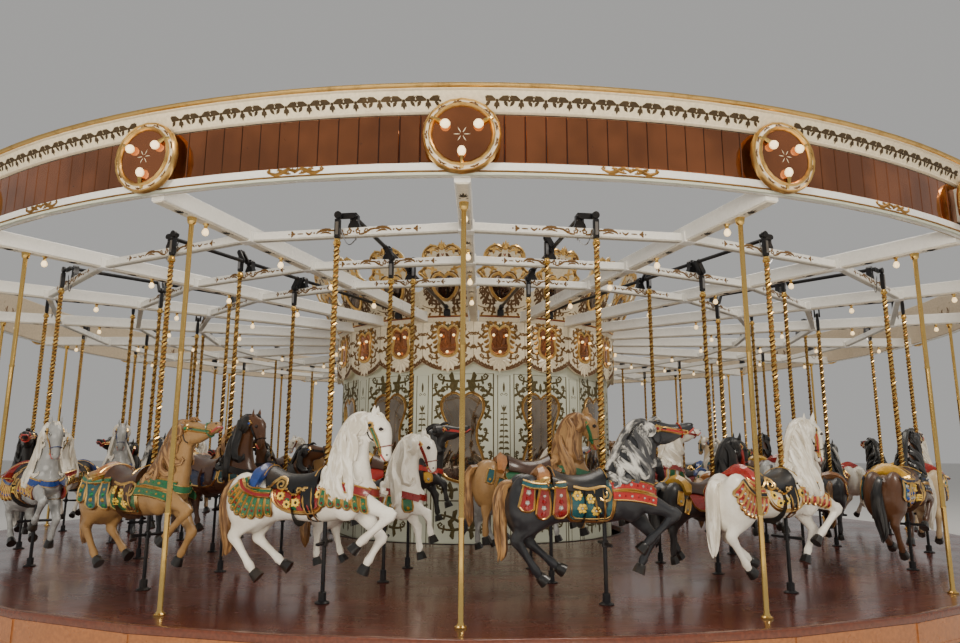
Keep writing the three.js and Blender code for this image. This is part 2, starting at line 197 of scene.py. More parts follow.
def grid(p: Array, wrap: bool = True, caps: bool = True, loop: bool = False) -> Shell:
    """Surface through rows of points.

    Args:
        p: Points as rows along the shape by columns round it by 3.
        wrap: Whether the last column joins the first.
        caps: Whether the first and last rows are closed with flat faces.
        loop: Whether the last row joins the first.

    Returns:
        The shell, with u round the shape and v along it.
    """
    rows, columns = p.shape[:2]
    i, j = np.meshgrid(
        np.arange(rows if loop else rows - 1), np.arange(columns if wrap else columns - 1), indexing="ij")
    i, j = i.ravel(), j.ravel()
    after, beside = (i + 1) % rows, (j + 1) % columns
    quads = np.stack([
        i * columns + j, i * columns + beside, after * columns + beside, after * columns + j], axis=1)
    u = np.stack([j, j + 1, j + 1, j], axis=1) / columns
    v = np.stack([i, i, i + 1, i + 1], axis=1) / max(rows - 1, 1)
    corners, counts = [quads.ravel()], [np.full(len(quads), 4)]
    uv = [np.stack([u.ravel(), v.ravel()], axis=1)]
    if caps and wrap and not loop:
        ring = np.arange(columns)
        corners += [ring[::-1], ring + (rows - 1) * columns]
        counts.append(np.array([columns, columns]))
        uv.append(np.zeros((2 * columns, 2)))
    shell = Shell(p.reshape(-1, 3), np.concatenate(corners), np.concatenate(counts), np.concatenate(uv))
    return shell.outward() if wrap else shell


def slab(outer: Array, inner: Array) -> Shell:
    """Closed sheet between two like grids of points, with its four edges walled.

    Args:
        outer: Points of the outer face, rows by columns by 3.
        inner: The inner face's, as many.

    Returns:
        The closed shell.
    """
    rows, columns = outer.shape[:2]
    size = rows * columns
    top = grid(outer, wrap=False)
    bottom = grid(inner, wrap=False).flipped()
    border = np.concatenate([
        np.arange(columns),
        np.arange(1, rows) * columns + columns - 1,
        (rows - 1) * columns + np.arange(columns - 2, -1, -1),
        np.arange(rows - 2, 0, -1) * columns,
    ])
    following = np.roll(border, -1)
    walls = np.stack([following, border, border + size, following + size], axis=1)
    return Shell(
        np.concatenate([top.points, bottom.points]),
        np.concatenate([top.corners, bottom.corners + size, walls.ravel()]),
        np.concatenate([top.counts, bottom.counts, np.full(len(walls), 4)]),
        np.concatenate([top.uv, bottom.uv, np.zeros((4 * len(walls), 2))]),
    ).outward()


def lathe(profile: Points, segments: int, ring: bool = False) -> Shell:
    """Profile of (radius, height) points spun about the upright axis.

    Args:
        profile: Points from one end to the other, or round a closed section.
        segments: Faces round the axis.
        ring: Whether the profile is a closed section.

    Returns:
        The closed shell.
    """
    points = np.array(profile, float)
    angle = np.arange(segments) * TAU / segments
    radius, height = points[:, :1], points[:, 1:]
    p = np.stack(np.broadcast_arrays(radius * np.sin(angle), -radius * np.cos(angle), height), axis=2)
    return grid(p, caps=not ring, loop=ring)


def prism(outline: Array, back: float, front: float) -> Shell:
    """Upright board with an outline of (x, z) points, from y = back out to y = front."""
    p = np.stack([
        np.column_stack([outline[:, 0], np.full(len(outline), y), outline[:, 1]]) for y in (back, front)])
    return grid(p)


def block(x: Pair, y: Pair, z: Pair, bevel: float = 0.0) -> Shell:
    """Rectangular timber or casting between limits, with its long edges bevelled.

    Args:
        x: Lowest and highest x.
        y: Lowest and highest y.
        z: Lowest and highest z.
        bevel: Width that is taken off round the top and bottom faces.

    Returns:
        The closed shell: four rings of four corners, the first and last ones drawn in by the bevel.
    """
    lift = np.array([0.0, bevel, z[1] - z[0] - bevel, z[1] - z[0]])
    draw = np.array([bevel, 0.0, 0.0, bevel])
    if bevel == 0:
        lift, draw = lift[[0, 3]], draw[[0, 3]]
    corner_x = np.where([True, False, False, True], x[0], x[1])
    corner_y = np.where([True, True, False, False], y[0], y[1])
    inward = np.array([[1, 1], [-1, 1], [-1, -1], [1, -1]])
    p = np.stack(np.broadcast_arrays(
        corner_x + draw[:, None] * inward[:, 0],
        corner_y + draw[:, None] * inward[:, 1],
        (z[0] + lift)[:, None],
    ), axis=2)
    return grid(p)


def smooth_path(points: Points, count: int, closed: bool = False) -> Array:
    """Points along a smooth curve through control points.

    Each span is the cubic that leaves one control point along the chord of its neighbours and reaches
    the next in the same way.

    Args:
        points: Control points of any number of coordinates.
        count: Points wanted.
        closed: Whether the curve returns to its start.

    Returns:
        The points as an array.
    """
    c = np.array(points, float)
    c = np.concatenate([c[-1:], c, c[:2]]) if closed else np.concatenate([
        2 * c[:1] - c[1:2], c, 2 * c[-1:] - c[-2:-1]])
    spans = len(c) - 3
    t = np.linspace(0, spans, count, endpoint=not closed)
    k = np.minimum(t.astype(int), spans - 1)
    f = (t - k)[:, None]
    a, b, d, e = c[k], c[k + 1], c[k + 2], c[k + 3]
    return 0.5 * (2 * b + (d - a) * f + (2 * a - 5 * b + 4 * d - e) * f**2 + (3 * b - a - 3 * d + e) * f**3)


def tube(path: Array, radii: Size, sides: int, flat: float = 1.0,
         reference: Sequence[float] = (0.0, 1.0, 0.0), closed: bool = False, roll: float = 0.0) -> Shell:
    """Profile carried along a path.

    A point of the profile is the path's point plus its across direction times radius times the cosine,
    plus its up direction times radius times flat times the sine. Across is the tangent crossed with the
    reference.

    Args:
        path: Points by 3.
        radii: One radius, or one for each point, or for each point and side.
        sides: Faces round the path.
        flat: Height of the profile against its width.
        reference: A direction that the path never follows.
        closed: Whether the path is a loop.
        roll: Turn of the profile about the path.

    Returns:
        The closed shell.
    """
    if closed:
        tangent = np.roll(path, -1, 0) - np.roll(path, 1, 0)
    else:
        tangent = np.gradient(path, axis=0)
    tangent /= np.linalg.norm(tangent, axis=1, keepdims=True)
    across = np.cross(tangent, np.array(reference, float))
    across /= np.linalg.norm(across, axis=1, keepdims=True)
    up = np.cross(across, tangent)
    angle = np.arange(sides) * TAU / sides + roll
    radius = np.broadcast_to(
        np.asarray(radii, float).reshape(-1, 1) if np.ndim(radii) < 2 else radii, (len(path), sides))
    p = path[:, None] + across[:, None] * (radius * np.cos(angle))[..., None]
    p = p + up[:, None] * (flat * radius * np.sin(angle))[..., None]
    return grid(p, loop=closed)


def ball(centre: Sequence[float], radius: Sequence[float], sides: int = 8, rows: int = 5) -> Shell:
    """Ellipsoid of a few faces round a centre, with one radius for each axis.

    Args:
        centre: Middle of the ellipsoid.
        radius: Radii along x, y and z.
        sides: Faces round it.
        rows: Faces from pole to pole.

    Returns:
        The closed shell.
    """
    polar = np.linspace(0.06, math.pi - 0.06, rows + 1)
    profile = np.column_stack([np.sin(polar), -np.cos(polar)])
    return lathe([tuple(row) for row in profile], sides).scaled(*radius).moved(*centre)


Term = Union["Value", float]


@dataclass(frozen=True)
class Value:
    """A number in a material, on which arithmetic adds Math nodes."""

    nodes: "Nodes"
    socket: Socket

    def __add__(self, other: Term) -> "Value":
        """Sum."""
        return self.nodes.math("ADD", self, other)

    __radd__ = __add__

    def __sub__(self, other: Term) -> "Value":
        """Difference."""
        return self.nodes.math("SUBTRACT", self, other)

    def __rsub__(self, other: Term) -> "Value":
        """Difference from a plain number."""
        return self.nodes.math("SUBTRACT", other, self)

    def __mul__(self, other: Term) -> "Value":
        """Product."""
        return self.nodes.math("MULTIPLY", self, other)

    __rmul__ = __mul__

    def __truediv__(self, other: Term) -> "Value":
        """Quotient."""
        return self.nodes.math("DIVIDE", self, other)

    def __gt__(self, other: Term) -> "Value":
        """One where the value is larger, and zero elsewhere."""
        return self.nodes.math("GREATER_THAN", self, other)

    def __lt__(self, other: Term) -> "Value":
        """One where the value is smaller, and zero elsewhere."""
        return self.nodes.math("LESS_THAN", self, other)

    def fraction(self) -> "Value":
        """The part after the decimal point."""
        return self.nodes.math("FRACT", self)

    def step(self, low: float, high: float) -> "Value":
        """Smooth rise from zero at low to one at high."""
        made = self.nodes.node("ShaderNodeMapRange", {"interpolation_type": "SMOOTHSTEP"},
                               {"Value": self, "From Min": low, "From Max": high})
        return Value(self.nodes, made.outputs["Result"])


class Nodes:
    """Node tree of one material, emptied for a finish to fill."""

    def __init__(self, material: bpy.types.Material) -> None:
        """Starts the tree.

        Args:
            material: The material whose tree this is.
        """
        material.use_nodes = True
        self.tree = material.node_tree
        self.tree.nodes.clear()

    def node(
            self, kind: str, settings: Optional[dict] = None,
            inputs: Optional[dict] = None) -> bpy.types.Node:
        """Any node.

        Args:
            kind: Blender's name of the node's type.
            settings: Properties, which are set first.
            inputs: Values, sockets or plain numbers for the node's sockets, by name or place.

        Returns:
            The node.
        """
        made = self.tree.nodes.new(kind)
        for key, value in (settings or {}).items():
            setattr(made, key, value)
        for key, value in (inputs or {}).items():
            target = made.inputs[key]
            if isinstance(value, Value):
                self.tree.links.new(value.socket, target)
            elif isinstance(value, Socket):
                self.tree.links.new(value, target)
            elif isinstance(value, tuple) and len(value) == 3 and target.type == "RGBA":
                target.default_value = (*value, 1.0)
            else:
                target.default_value = value
        return made

    def math(self, operation: str, *terms: Term) -> Value:
        """Math node on values or numbers."""
        made = self.node("ShaderNodeMath", {"operation": operation}, dict(enumerate(terms)))
        return Value(self, made.outputs[0])

    def blend(self, factor: Term, first: Union[Colour, Socket],
              second: Union[Colour, Socket], how: str = "MIX") -> Socket:
        """Colour between two, by a Mix node.

        Args:
            factor: Share of the second colour.
            first: Colour or socket.
            second: Colour or socket.
            how: Blend type.

        Returns:
            The socket with the mixed colour.
        """
        settings = {"data_type": "RGBA", "blend_type": how}
        return self.node("ShaderNodeMix", settings, {0: factor, 6: first, 7: second}).outputs[2]

    def place(self) -> Socket:
        """Object coordinates."""
        return self.node("ShaderNodeTexCoord").outputs["Object"]

    def axes(self, source: Optional[Socket] = None) -> tuple[Value, Value, Value]:
        """The three numbers of a vector, or of the object coordinates."""
        parted = self.node("ShaderNodeSeparateXYZ", None, {0: source or self.place()})
        return tuple(Value(self, parted.outputs[i]) for i in range(3))

    def strand(self) -> tuple[Value, Value]:
        """The surface's own u, round a shape, and v, along it."""
        u, v, _ = self.axes(self.node("ShaderNodeTexCoord").outputs["UV"])
        return u, v

    def vector(self, x: Term, y: Term, z: Term) -> Socket:
        """Vector of three values."""
        return self.node("ShaderNodeCombineXYZ", None, {0: x, 1: y, 2: z}).outputs[0]

    def noise(self, scale: float, detail: float = 3.0, roughness: float = 0.5,
              at: Optional[Socket] = None) -> Value:
        """Noise at object coordinates, or at a vector."""
        made = self.node("ShaderNodeTexNoise", None, {
            "Vector": at or self.place(), "Scale": scale, "Detail": detail, "Roughness": roughness})
        return Value(self, made.outputs[0])

    def bump(self, height: Value, distance: float, strength: float = 1.0) -> Socket:
        """Normal raised by a height, whose full step is the distance in metres."""
        made = self.node("ShaderNodeBump", None, {
            "Height": height, "Distance": distance, "Strength": strength})
        return made.outputs[0]

    def surface(self, **sockets: object) -> None:
        """Principled shader on the material's output, with underscores for the spaces in socket names."""
        inputs = {key.replace("_", " "): value for key, value in sockets.items()}
        shader = self.node("ShaderNodeBsdfPrincipled", None, inputs)
        self.node("ShaderNodeOutputMaterial", None, {"Surface": shader.outputs[0]})


@dataclass(frozen=True)
class Finish:
    """Base of the finishes: a name, and a material made once for each name."""

    name: str

    def material(self) -> bpy.types.Material:
        """The finish's material, made when it is first asked for."""
        known = bpy.data.materials.get(self.name)
        if known:
            return known
        made = bpy.data.materials.new(self.name)
        self.dress(Nodes(made))
        return made

    def dress(self, nodes: Nodes) -> None:
        """Fills the material's nodes.

        Args:
            nodes: The empty tree.
        """
        raise NotImplementedError


@dataclass(frozen=True)
class Paint(Finish):
    """Brushed gloss or satin paint on wood or iron, with soft grime and a few dull rubs."""

    colour: Colour
    rough: float = 0.28
    coat: float = 0.35
    mottle: float = 0.12
    grime: Colour = (0.16, 0.1, 0.05)

    def dress(self, nodes: Nodes) -> None:
        """Broad noise darkens the colour towards the grime, and fine noise varies gloss and height.

        Args:
            nodes: The empty tree.
        """
        broad = nodes.noise(2.3, 4.0, 0.6)
        fine = nodes.noise(38.0, 3.0)
        dark = tuple(c * (1 - self.mottle) for c in self.colour)
        base = nodes.blend(fine.step(0.3, 0.7), self.colour, dark)
        base = nodes.blend(broad.step(0.52, 0.85) * (1.6 * self.mottle), base, self.grime)
        height = nodes.noise(120.0, 2.0)
        nodes.surface(Base_Color=base, Roughness=broad.step(0.35, 0.8) * 0.16 + self.rough,
                      Coat_Weight=self.coat, Coat_Roughness=0.09, Normal=nodes.bump(height, 0.0006))


@dataclass(frozen=True)
class Metal(Finish):
    """Polished, gilt or painted metal with handling smudges and darker tarnish."""

    colour: Colour
    rough: float = 0.22
    tarnish: Colour = (0.1, 0.05, 0.02)
    age: float = 0.35
    metallic: float = 1.0
    grain: float = 60.0

    def dress(self, nodes: Nodes) -> None:
        """Two noises mix tarnish into the colour and roughen it.

        Args:
            nodes: The empty tree.
        """
        smudge = nodes.noise(9.0, 5.0, 0.65)
        speck = nodes.noise(self.grain, 3.0)
        worn = smudge.step(0.45, 0.75) * self.age
        base = nodes.blend(worn, self.colour, self.tarnish)
        base = nodes.blend(speck.step(0.62, 0.8) * (0.6 * self.age), base, self.tarnish)
        nodes.surface(Base_Color=base, Metallic=self.metallic, Roughness=worn * 0.5 + self.rough,
                      Normal=nodes.bump(speck, 0.0004))


@dataclass(frozen=True)
class Twist(Finish):
    """Brass rope pole, bright on its two ridges and dark in its grooves."""

    colour: Colour
    groove: Colour = (0.26, 0.085, 0.016)

    def dress(self, nodes: Nodes) -> None:
        """The ridges are at u = 0 and 0.5, so the distance from them is |fraction(2u + 0.5) - 0.5|.

        Args:
            nodes: The empty tree.
        """
        u, _ = nodes.strand()
        away = nodes.math("ABSOLUTE", (u * 2.0 + 0.5).fraction() - 0.5)
        smudge = nodes.noise(7.0, 4.0, 0.65)
        base = nodes.blend(away.step(0.16, 0.46), self.colour, self.groove)
        base = nodes.blend(smudge.step(0.5, 0.8) * 0.35, base, self.groove)
        nodes.surface(Base_Color=base, Metallic=1.0, Roughness=smudge * 0.16 + away * 0.3 + 0.1)


@dataclass(frozen=True)
class Mirror(Finish):
    """Silvered glass with a warm tint, faint waviness and spots where the silver has gone; in the brown
    mirror of the band, medallions and frieze the warm tint is a painted reflection of a wooden ceiling.
    """

    tint: Colour
    rough: float = 0.06

    def dress(self, nodes: Nodes) -> None:
        """Slow noise changes the tint and waves the normal, and a sharp one sets the lost spots.

        Args:
            nodes: The empty tree.
        """
        slow = nodes.noise(1.9, 3.0)
        spots = nodes.noise(26.0, 4.0, 0.7).step(0.66, 0.74)
        deep = tuple(c * 0.62 for c in self.tint)
        base = nodes.blend(slow.step(0.35, 0.65), self.tint, deep)
        base = nodes.blend(spots * 0.7, base, (0.05, 0.035, 0.025))
        nodes.surface(Base_Color=base, Metallic=0.94, Roughness=spots * 0.3 + self.rough,
                      Coat_Weight=0.6, Coat_Roughness=0.03, Normal=nodes.bump(slow, 0.0007))


@dataclass(frozen=True)
class Boards(Finish):
    """Varnished narrow boards that run straight across each bay, with dark joints and worn streaks."""

    light: Colour
    dark: Colour
    width: float = 0.068
    joint: float = 0.0035

    def dress(self, nodes: Nodes) -> None:
        """Distance across the boards is the radius times the cosine of the angle from the bay's middle.

        Args:
            nodes: The empty tree.
        """
        x, y, _ = nodes.axes()
        radius = nodes.math("SQRT", x * x + y * y)
        turn = nodes.math("ARCTAN2", x, y * -1.0) / PITCH + RANKS
        off = (turn.fraction() - 0.5) * PITCH
        across = radius * nodes.math("COSINE", off) / self.width
        along = radius * nodes.math("SINE", off)
        board = nodes.math("FLOOR", across)
        gap = nodes.math("ABSOLUTE", across.fraction() - 0.5) > 0.5 - self.joint / self.width
        seam = nodes.math("ABSOLUTE", off) > PITCH / 2 - 0.0008
        lines = nodes.math("MAXIMUM", gap, seam)
        tone = nodes.node(
            "ShaderNodeTexWhiteNoise", {"noise_dimensions": "1D"}, {"W": board}).outputs["Value"]
        grain = nodes.noise(1.0, 5.0, 0.6, nodes.vector(along * 2.2, across * 3.1, board * 7.7))
        scuff = nodes.noise(1.3, 5.0, 0.7)
        base = nodes.blend(Value(nodes, tone) * 0.45 + grain * 0.5, self.dark, self.light)
        base = nodes.blend(lines * 0.85, base, (0.012, 0.006, 0.004))
        height = 1.0 - lines * 1.0
        nodes.surface(Base_Color=base, Roughness=scuff.step(0.35, 0.75) * 0.2 + 0.2, Coat_Weight=0.35,
                      Coat_Roughness=0.12, Normal=nodes.bump(height + grain * 0.15, 0.0016))


@dataclass(frozen=True)
class Glow(Finish):
    """Frosted bulb, lit."""

    colour: Colour = (1.0, 0.6, 0.2)
    strength: float = 1.5

    def dress(self, nodes: Nodes) -> None:
        """Warm light that is a little uneven through the frosting.

        Args:
            nodes: The empty tree.
        """
        frost = nodes.noise(70.0, 2.0)
        nodes.surface(Base_Color=(1.0, 0.9, 0.7), Roughness=0.3, Emission_Strength=self.strength,
                      Emission_Color=nodes.blend(frost.step(0.3, 0.7), self.colour, (1.0, 0.72, 0.34)))


@dataclass(frozen=True)
class Coat(Finish):
    """Painted coat of a carved horse: brushed colour, soft shading in a second colour, and dapples."""

    colour: Colour
    shade: Colour
    dapple: float = 0.0
    scale: float = 13.0

    def dress(self, nodes: Nodes) -> None:
        """Soft noise mixes in the shade, and the cells of a Voronoi pattern lighten round dapples.

        Args:
            nodes: The empty tree.
        """
        soft = nodes.noise(3.4, 4.0, 0.6)
        brush = nodes.noise(46.0, 3.0, 0.6)
        base = nodes.blend(soft.step(0.42, 0.72) * 0.55, self.colour, self.shade)
        base = nodes.blend(brush.step(0.4, 0.75) * 0.18, base, self.shade)
        if self.dapple:
            warped = nodes.node("ShaderNodeTexVoronoi", {"feature": "SMOOTH_F1"}, {
                "Vector": nodes.place(), "Scale": self.scale, "Smoothness": 0.5, "Randomness": 0.9})
            spots = 1.0 - Value(nodes, warped.outputs["Distance"]).step(0.18, 0.5)
            base = nodes.blend(
                spots * soft.step(0.3, 0.6) * self.dapple, base,
                tuple(min(1.0, 1.9 * c + 0.12) for c in self.colour))
        nodes.surface(Base_Color=base, Roughness=brush * 0.14 + 0.32, Coat_Weight=0.3, Coat_Roughness=0.14,
                      Normal=nodes.bump(brush, 0.0012))


@dataclass(frozen=True)
class Hair(Finish):
    """Carved and painted mane or tail, streaked along the locks."""

    colour: Colour
    groove: Colour
    streaks: float = 9.0

    def dress(self, nodes: Nodes) -> None:
        """Noise stretched along the lock gives the strands' colour and height.

        Args:
            nodes: The empty tree.
        """
        u, v = nodes.strand()
        x, y, z = nodes.axes()
        wave = nodes.noise(1.0, 3.0, 0.6, nodes.vector(
            u * self.streaks, v * 1.6, x * 5.0 + y * 5.0 + z * 5.0))
        broad = nodes.noise(7.0, 3.0)
        base = nodes.blend(wave.step(0.42, 0.62), self.groove, self.colour)
        base = nodes.blend(broad.step(0.5, 0.75) * 0.3, base, self.groove)
        nodes.surface(Base_Color=base, Roughness=0.36, Coat_Weight=0.3, Coat_Roughness=0.15,
                      Normal=nodes.bump(wave, 0.005))


@dataclass(frozen=True)
class Jewel(Finish):
    """Cut glass gem on a foil back."""

    colour: Colour

    def dress(self, nodes: Nodes) -> None:
        """Facet-like cells change the depth of the colour.

        Args:
            nodes: The empty tree.
        """
        cells = nodes.node("ShaderNodeTexVoronoi", None, {"Vector": nodes.place(), "Scale": 210.0})
        facet = Value(nodes, cells.outputs["Distance"])
        deep = tuple(c * 0.35 for c in self.colour)
        nodes.surface(Base_Color=nodes.blend(facet.step(0.1, 0.6), self.colour, deep), Metallic=0.25,
                      Roughness=0.07, Coat_Weight=1.0, Coat_Roughness=0.02)


WHITE = Paint("white_gloss_paint", (0.84, 0.82, 0.76), 0.25, 0.4, 0.05)
WARM_WHITE = Paint("warm_white_paint", (0.72, 0.66, 0.54), 0.34, 0.2, 0.12)
# Grey copy of the white paint: painted shade for the undersides of the cross-beams.
PAINTED_SHADE_WHITE = Paint("moulding_grey_paint", (0.5, 0.47, 0.4), 0.36, 0.2, 0.15)
CREAM = Paint("cream_paint", (0.74, 0.6, 0.41), 0.34, 0.25, 0.14)
PALE_CREAM = Paint("pale_cream_paint", (0.78, 0.67, 0.47), 0.36, 0.2, 0.14)
BEIGE = Paint("beige_inner_paint", (0.58, 0.47, 0.33), 0.5, 0.05, 0.16)
GREY_GREEN = Paint("grey_green_paint", (0.3, 0.33, 0.27), 0.42, 0.15, 0.16)
BROWN_LINE = Paint("brown_scroll_paint", (0.125, 0.058, 0.019), 0.6, 0.0, 0.3)
OLIVE_LINE = Paint("olive_scroll_paint", (0.095, 0.072, 0.024), 0.6, 0.0, 0.3)
SCROLL_LINE = Paint("gold_brown_scroll_paint", (0.165, 0.082, 0.019), 0.6, 0.0, 0.3)
LEAF_LINE = Paint("dark_leaf_paint", (0.058, 0.036, 0.015), 0.6, 0.0, 0.3)
BLACK_LINE = Paint("black_detail_paint", (0.012, 0.012, 0.013), 0.3, 0.3, 0.3)
BLACK_IRON = Metal("black_iron_paint", (0.016, 0.016, 0.018), 0.34, (0.07, 0.05, 0.035), 0.3, 0.35)
STEEL = Metal("worn_steel", (0.42, 0.42, 0.43), 0.3, (0.08, 0.06, 0.05), 0.5)
GILT = Metal("gilt_carving", (0.9, 0.58, 0.2), 0.28, (0.2, 0.08, 0.02), 0.45, 1.0, 34.0)
DARK_GILT = Metal("aged_gilt", (0.4, 0.21, 0.055), 0.4, (0.07, 0.03, 0.01), 0.6, 0.8, 30.0)
BRASS = Metal("polished_brass", (0.9, 0.6, 0.19), 0.17, (0.32, 0.14, 0.035), 0.25)
TWIST = Twist("twisted_brass", (0.95, 0.62, 0.19))
# Brown tint that stands for a wooden ceiling seen in the mirrors: a painted reflection.
PAINTED_REFLECTION_MIRROR = Mirror("bronze_mirror", (0.44, 0.15, 0.055))
DARK_MIRROR = Mirror("smoked_mirror", (0.17, 0.12, 0.09), 0.05)
DRUM_MIRROR = Mirror("drum_mirror", (0.34, 0.27, 0.2), 0.05)
DECK_BOARDS = Boards("varnished_deck_boards", (0.145, 0.03, 0.015), (0.048, 0.01, 0.007))
SKIRT = Paint("orange_brown_skirt", (0.34, 0.12, 0.035), 0.24, 0.5, 0.25)
DECK_EDGE = Paint("deck_edge_varnish", (0.13, 0.035, 0.016), 0.18, 0.6, 0.3)
FLOOR = Paint("studio_floor", (0.62, 0.61, 0.59), 0.6, 0.0, 0.03, (0.5, 0.49, 0.47))
BULB = Glow("lit_bulb")


@dataclass
class Piece:
    """One named object: shells with their finishes, and the body that it rides on."""

    name: str
    body: str
    slot: str
    parts: list[tuple[Shell, Finish]] = field(default_factory=list)

    def add(self, finish: Finish, *shells: Shell) -> "Piece":
        """Adds shells in one finish."""
        self.parts += [(shell, finish) for shell in shells]
        return self

    def build(self, *nodes: str) -> bpy.types.Object:
        """Makes the mesh and its object.

        Args:
            nodes: CAD nodes that the piece stands for.

        Returns:
            The object, riding on its body.
        """
        finishes = list(dict.fromkeys(finish for _, finish in self.parts))
        whole = join([shell for shell, _ in self.parts])
        index = np.concatenate([np.full(len(s.counts), finishes.index(f)) for s, f in self.parts])
        mesh = bpy.data.meshes.new(self.name)
        mesh.vertices.add(len(whole.points))
        mesh.vertices.foreach_set("co", whole.points.astype(np.float32).ravel())
        mesh.loops.add(len(whole.corners))
        mesh.loops.foreach_set("vertex_index", whole.corners.astype(np.int32))
        mesh.polygons.add(len(whole.counts))
        mesh.polygons.foreach_set("loop_start", (np.cumsum(whole.counts) - whole.counts).astype(np.int32))
        mesh.polygons.foreach_set("material_index", index.astype(np.int32))
        mesh.update(calc_edges=True)
        layer = mesh.uv_layers.new(name="along")
        layer.data.foreach_set("uv", whole.uv.astype(np.float32).ravel())
        mesh.shade_smooth()
        mesh.set_sharp_from_angle(angle=SHARP_ANGLE)
        for finish in finishes:
            mesh.materials.append(finish.material())
        made = bpy.data.objects.new(self.name, mesh)
        bpy.context.scene.collection.objects.link(made)
        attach(made, self.body)
        if nodes:
            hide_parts(*nodes)
        log.info("%s: %d triangles on %s", self.name, int((whole.counts - 2).sum()), self.body)
        return made


RIDGE_REACH = 1.73
RIDGE_RISE = 0.58


def bays() -> Array:
    """Angle of each bay's middle, which is a rank of horses."""
    return (np.arange(RANKS) + 0.5) * PITCH


def sweeps() -> Array:
    """Angle of each sweep."""
    return np.arange(RANKS) * PITCH


def upright(flat: Array, y: float = 0.0) -> Array:
    """Points in space of (x, z) points on a board's face."""
    return np.column_stack([flat[:, 0], np.full(len(flat), y), flat[:, 1]])


def ridge(flat: Array, half: Size, height: float, closed: bool = False) -> Shell:
    """Painted or carved line on a board: a three-sided profile with an edge up and a side sunk in the board.

    Args:
        flat: (x, z) points of the line.
        half: Half of its width, one or one for each point.
        height: Its height against that half.
        closed: Whether it is a loop.

    Returns:
        The shell, raised towards -y.
    """
    return tube(upright(flat), RIDGE_REACH * np.asarray(half), 3, RIDGE_RISE * height, closed=closed,
                roll=-math.pi / 2)


def stroke(points: Points, width: float, count: int = 7, height: float = 0.4,
           ends: float = 0.2) -> Shell:
    """Painted or carved stroke on a flat board: a low ridge along a smooth curve, thinner at its ends.

    Args:
        points: (x, z) control points.
        width: Full width at the middle.
        count: Points along the stroke.
        height: Height of the ridge against half its width.
        ends: Share of the width at the ends.

    Returns:
        The shell, raised towards -y from the plane y = 0.
    """
    swell = ends + (1 - ends) * np.sin(np.linspace(0.08, 0.92, count) * math.pi) ** 0.8
    return ridge(smooth_path(points, count), width / 2 * swell, height)


def curl(
        x: float, z: float, radius: float, start: float, turns: float, width: float, count: int = 8) -> Shell:
    """Spiral stroke that winds in to a centre, thinning as it goes.

    Args:
        x: Centre.
        z: Centre.
        radius: Outer radius.
        start: Angle of the outer end from the x axis, in turns.
        turns: Turns wound, negative for the other hand.
        width: Width at the outer end.
        count: Points along the stroke.

    Returns:
        The shell.
    """
    t = np.linspace(0, 1, count)
    angle = (start + turns * t) * TAU
    reach = radius * (1 - 0.8 * t)
    return ridge(
        np.column_stack([x + reach * np.cos(angle), z + reach * np.sin(angle)]), width / 2 * (1 - 0.45 * t),
        0.45)


def leaf(x: float, z: float, angle: float, length: float, width: float, bend: float = 0.0) -> Shell:
    """Pointed leaf or petal; one under 90 mm has fewer faces.

    Args:
        x: Root.
        z: Root.
        angle: Direction from the x axis, in turns.
        length: Length.
        width: Full width.
        bend: Sideways bow against the length.

    Returns:
        The leaf.
    """
    along = np.array([math.cos(angle * TAU), math.sin(angle * TAU)])
    side = np.array([-along[1], along[0]])
    t = np.linspace(0, 1, 3 if length < 0.09 else 5)
    flat = np.array([x, z]) + length * (t[:, None] * along + bend * (t**2)[:, None] * side)
    return ridge(flat, width / 2 * np.interp(t, [0, 0.25, 0.5, 0.75, 1], [0.35, 0.85, 1.0, 0.7, 0.08]), 0.4)


def comma(x: float, z: float, angle: float, size: float, hand: float) -> Shell:
    """Comma-shaped acanthus stroke: thin at its root, it bends and swells to a round end.

    Args:
        x: Root.
        z: Root.
        angle: Direction at the root, in turns.
        size: Length.
        hand: 1 to bend left, -1 to bend right.

    Returns:
        The stroke.
    """
    t = np.linspace(0, 1, 4)
    turn = angle * TAU + hand * 1.5 * t
    flat = np.array([x, z]) + np.cumsum(
        size / 3 * np.column_stack([np.cos(turn), np.sin(turn)]) * (t > 0)[:, None], axis=0)
    return ridge(flat, 0.25 * size * np.array([0.35, 0.85, 1.0, 0.3]), 0.35)


def spray(
        x: float, z: float, angle: float, length: float, bend: float = 0.3, width: float = 0.02,
        leaves: int = 2, reach: float = 0.66) -> Shell:
    """Acanthus branch: a stem that bends into a closing curl, with pairs of commas that shrink towards it.

    The stem runs through start + length * (t * along + bend * t^2 * side) for t from 0 to 1.

    Args:
        x: Start.
        z: Start.
        angle: Direction at the start from the x axis, in turns.
        length: Length of the stem.
        bend: Sideways bow of the stem against its length, to the left where it is positive.
        width: Width of the stem at its root.
        leaves: Pairs of commas.
        reach: Length of the first commas against the stem's.

    Returns:
        The branch.
    """
    along = np.array([math.cos(angle * TAU), math.sin(angle * TAU)])
    side = np.array([-along[1], along[0]])
    start = np.array([x, z])
    t = np.linspace(0, 1, 4)
    flat = start + length * (t[:, None] * along + bend * (t**2)[:, None] * side)
    parts = [ridge(flat, 0.75 * width * (1 - 0.4 * t), 0.4)]
    for k in range(leaves):
        s = (k + 0.5) / leaves
        at = start + length * (s * along + bend * s * s * side)
        heading = angle + math.atan(2 * bend * s) / TAU
        size = length * reach * (1 - 0.8 * s)
        parts += [comma(*at, heading + hand * 0.05, size, hand) for hand in (-1, 1)]
    hand = 1.0 if bend >= 0 else -1.0
    heading = angle * TAU + math.atan(2 * bend)
    normal = hand * np.array([-math.sin(heading), math.cos(heading)])
    radius = 0.17 * length
    centre = flat[-1] + radius * normal
    turn = math.atan2(-normal[1], -normal[0]) / TAU
    parts.append(curl(*centre, radius, turn, 1.1 * hand, 1.2 * width, 6))
    return join(parts)


def bead(x: float, z: float, radius: float, y: float = 0.0) -> Shell:
    """Small dome on a board."""
    profile = [(radius, -0.15 * radius), (0.82 * radius, 0.35 * radius), (0.35 * radius, 0.6 * radius)]
    return disc(profile, 6).moved(x, y, z)


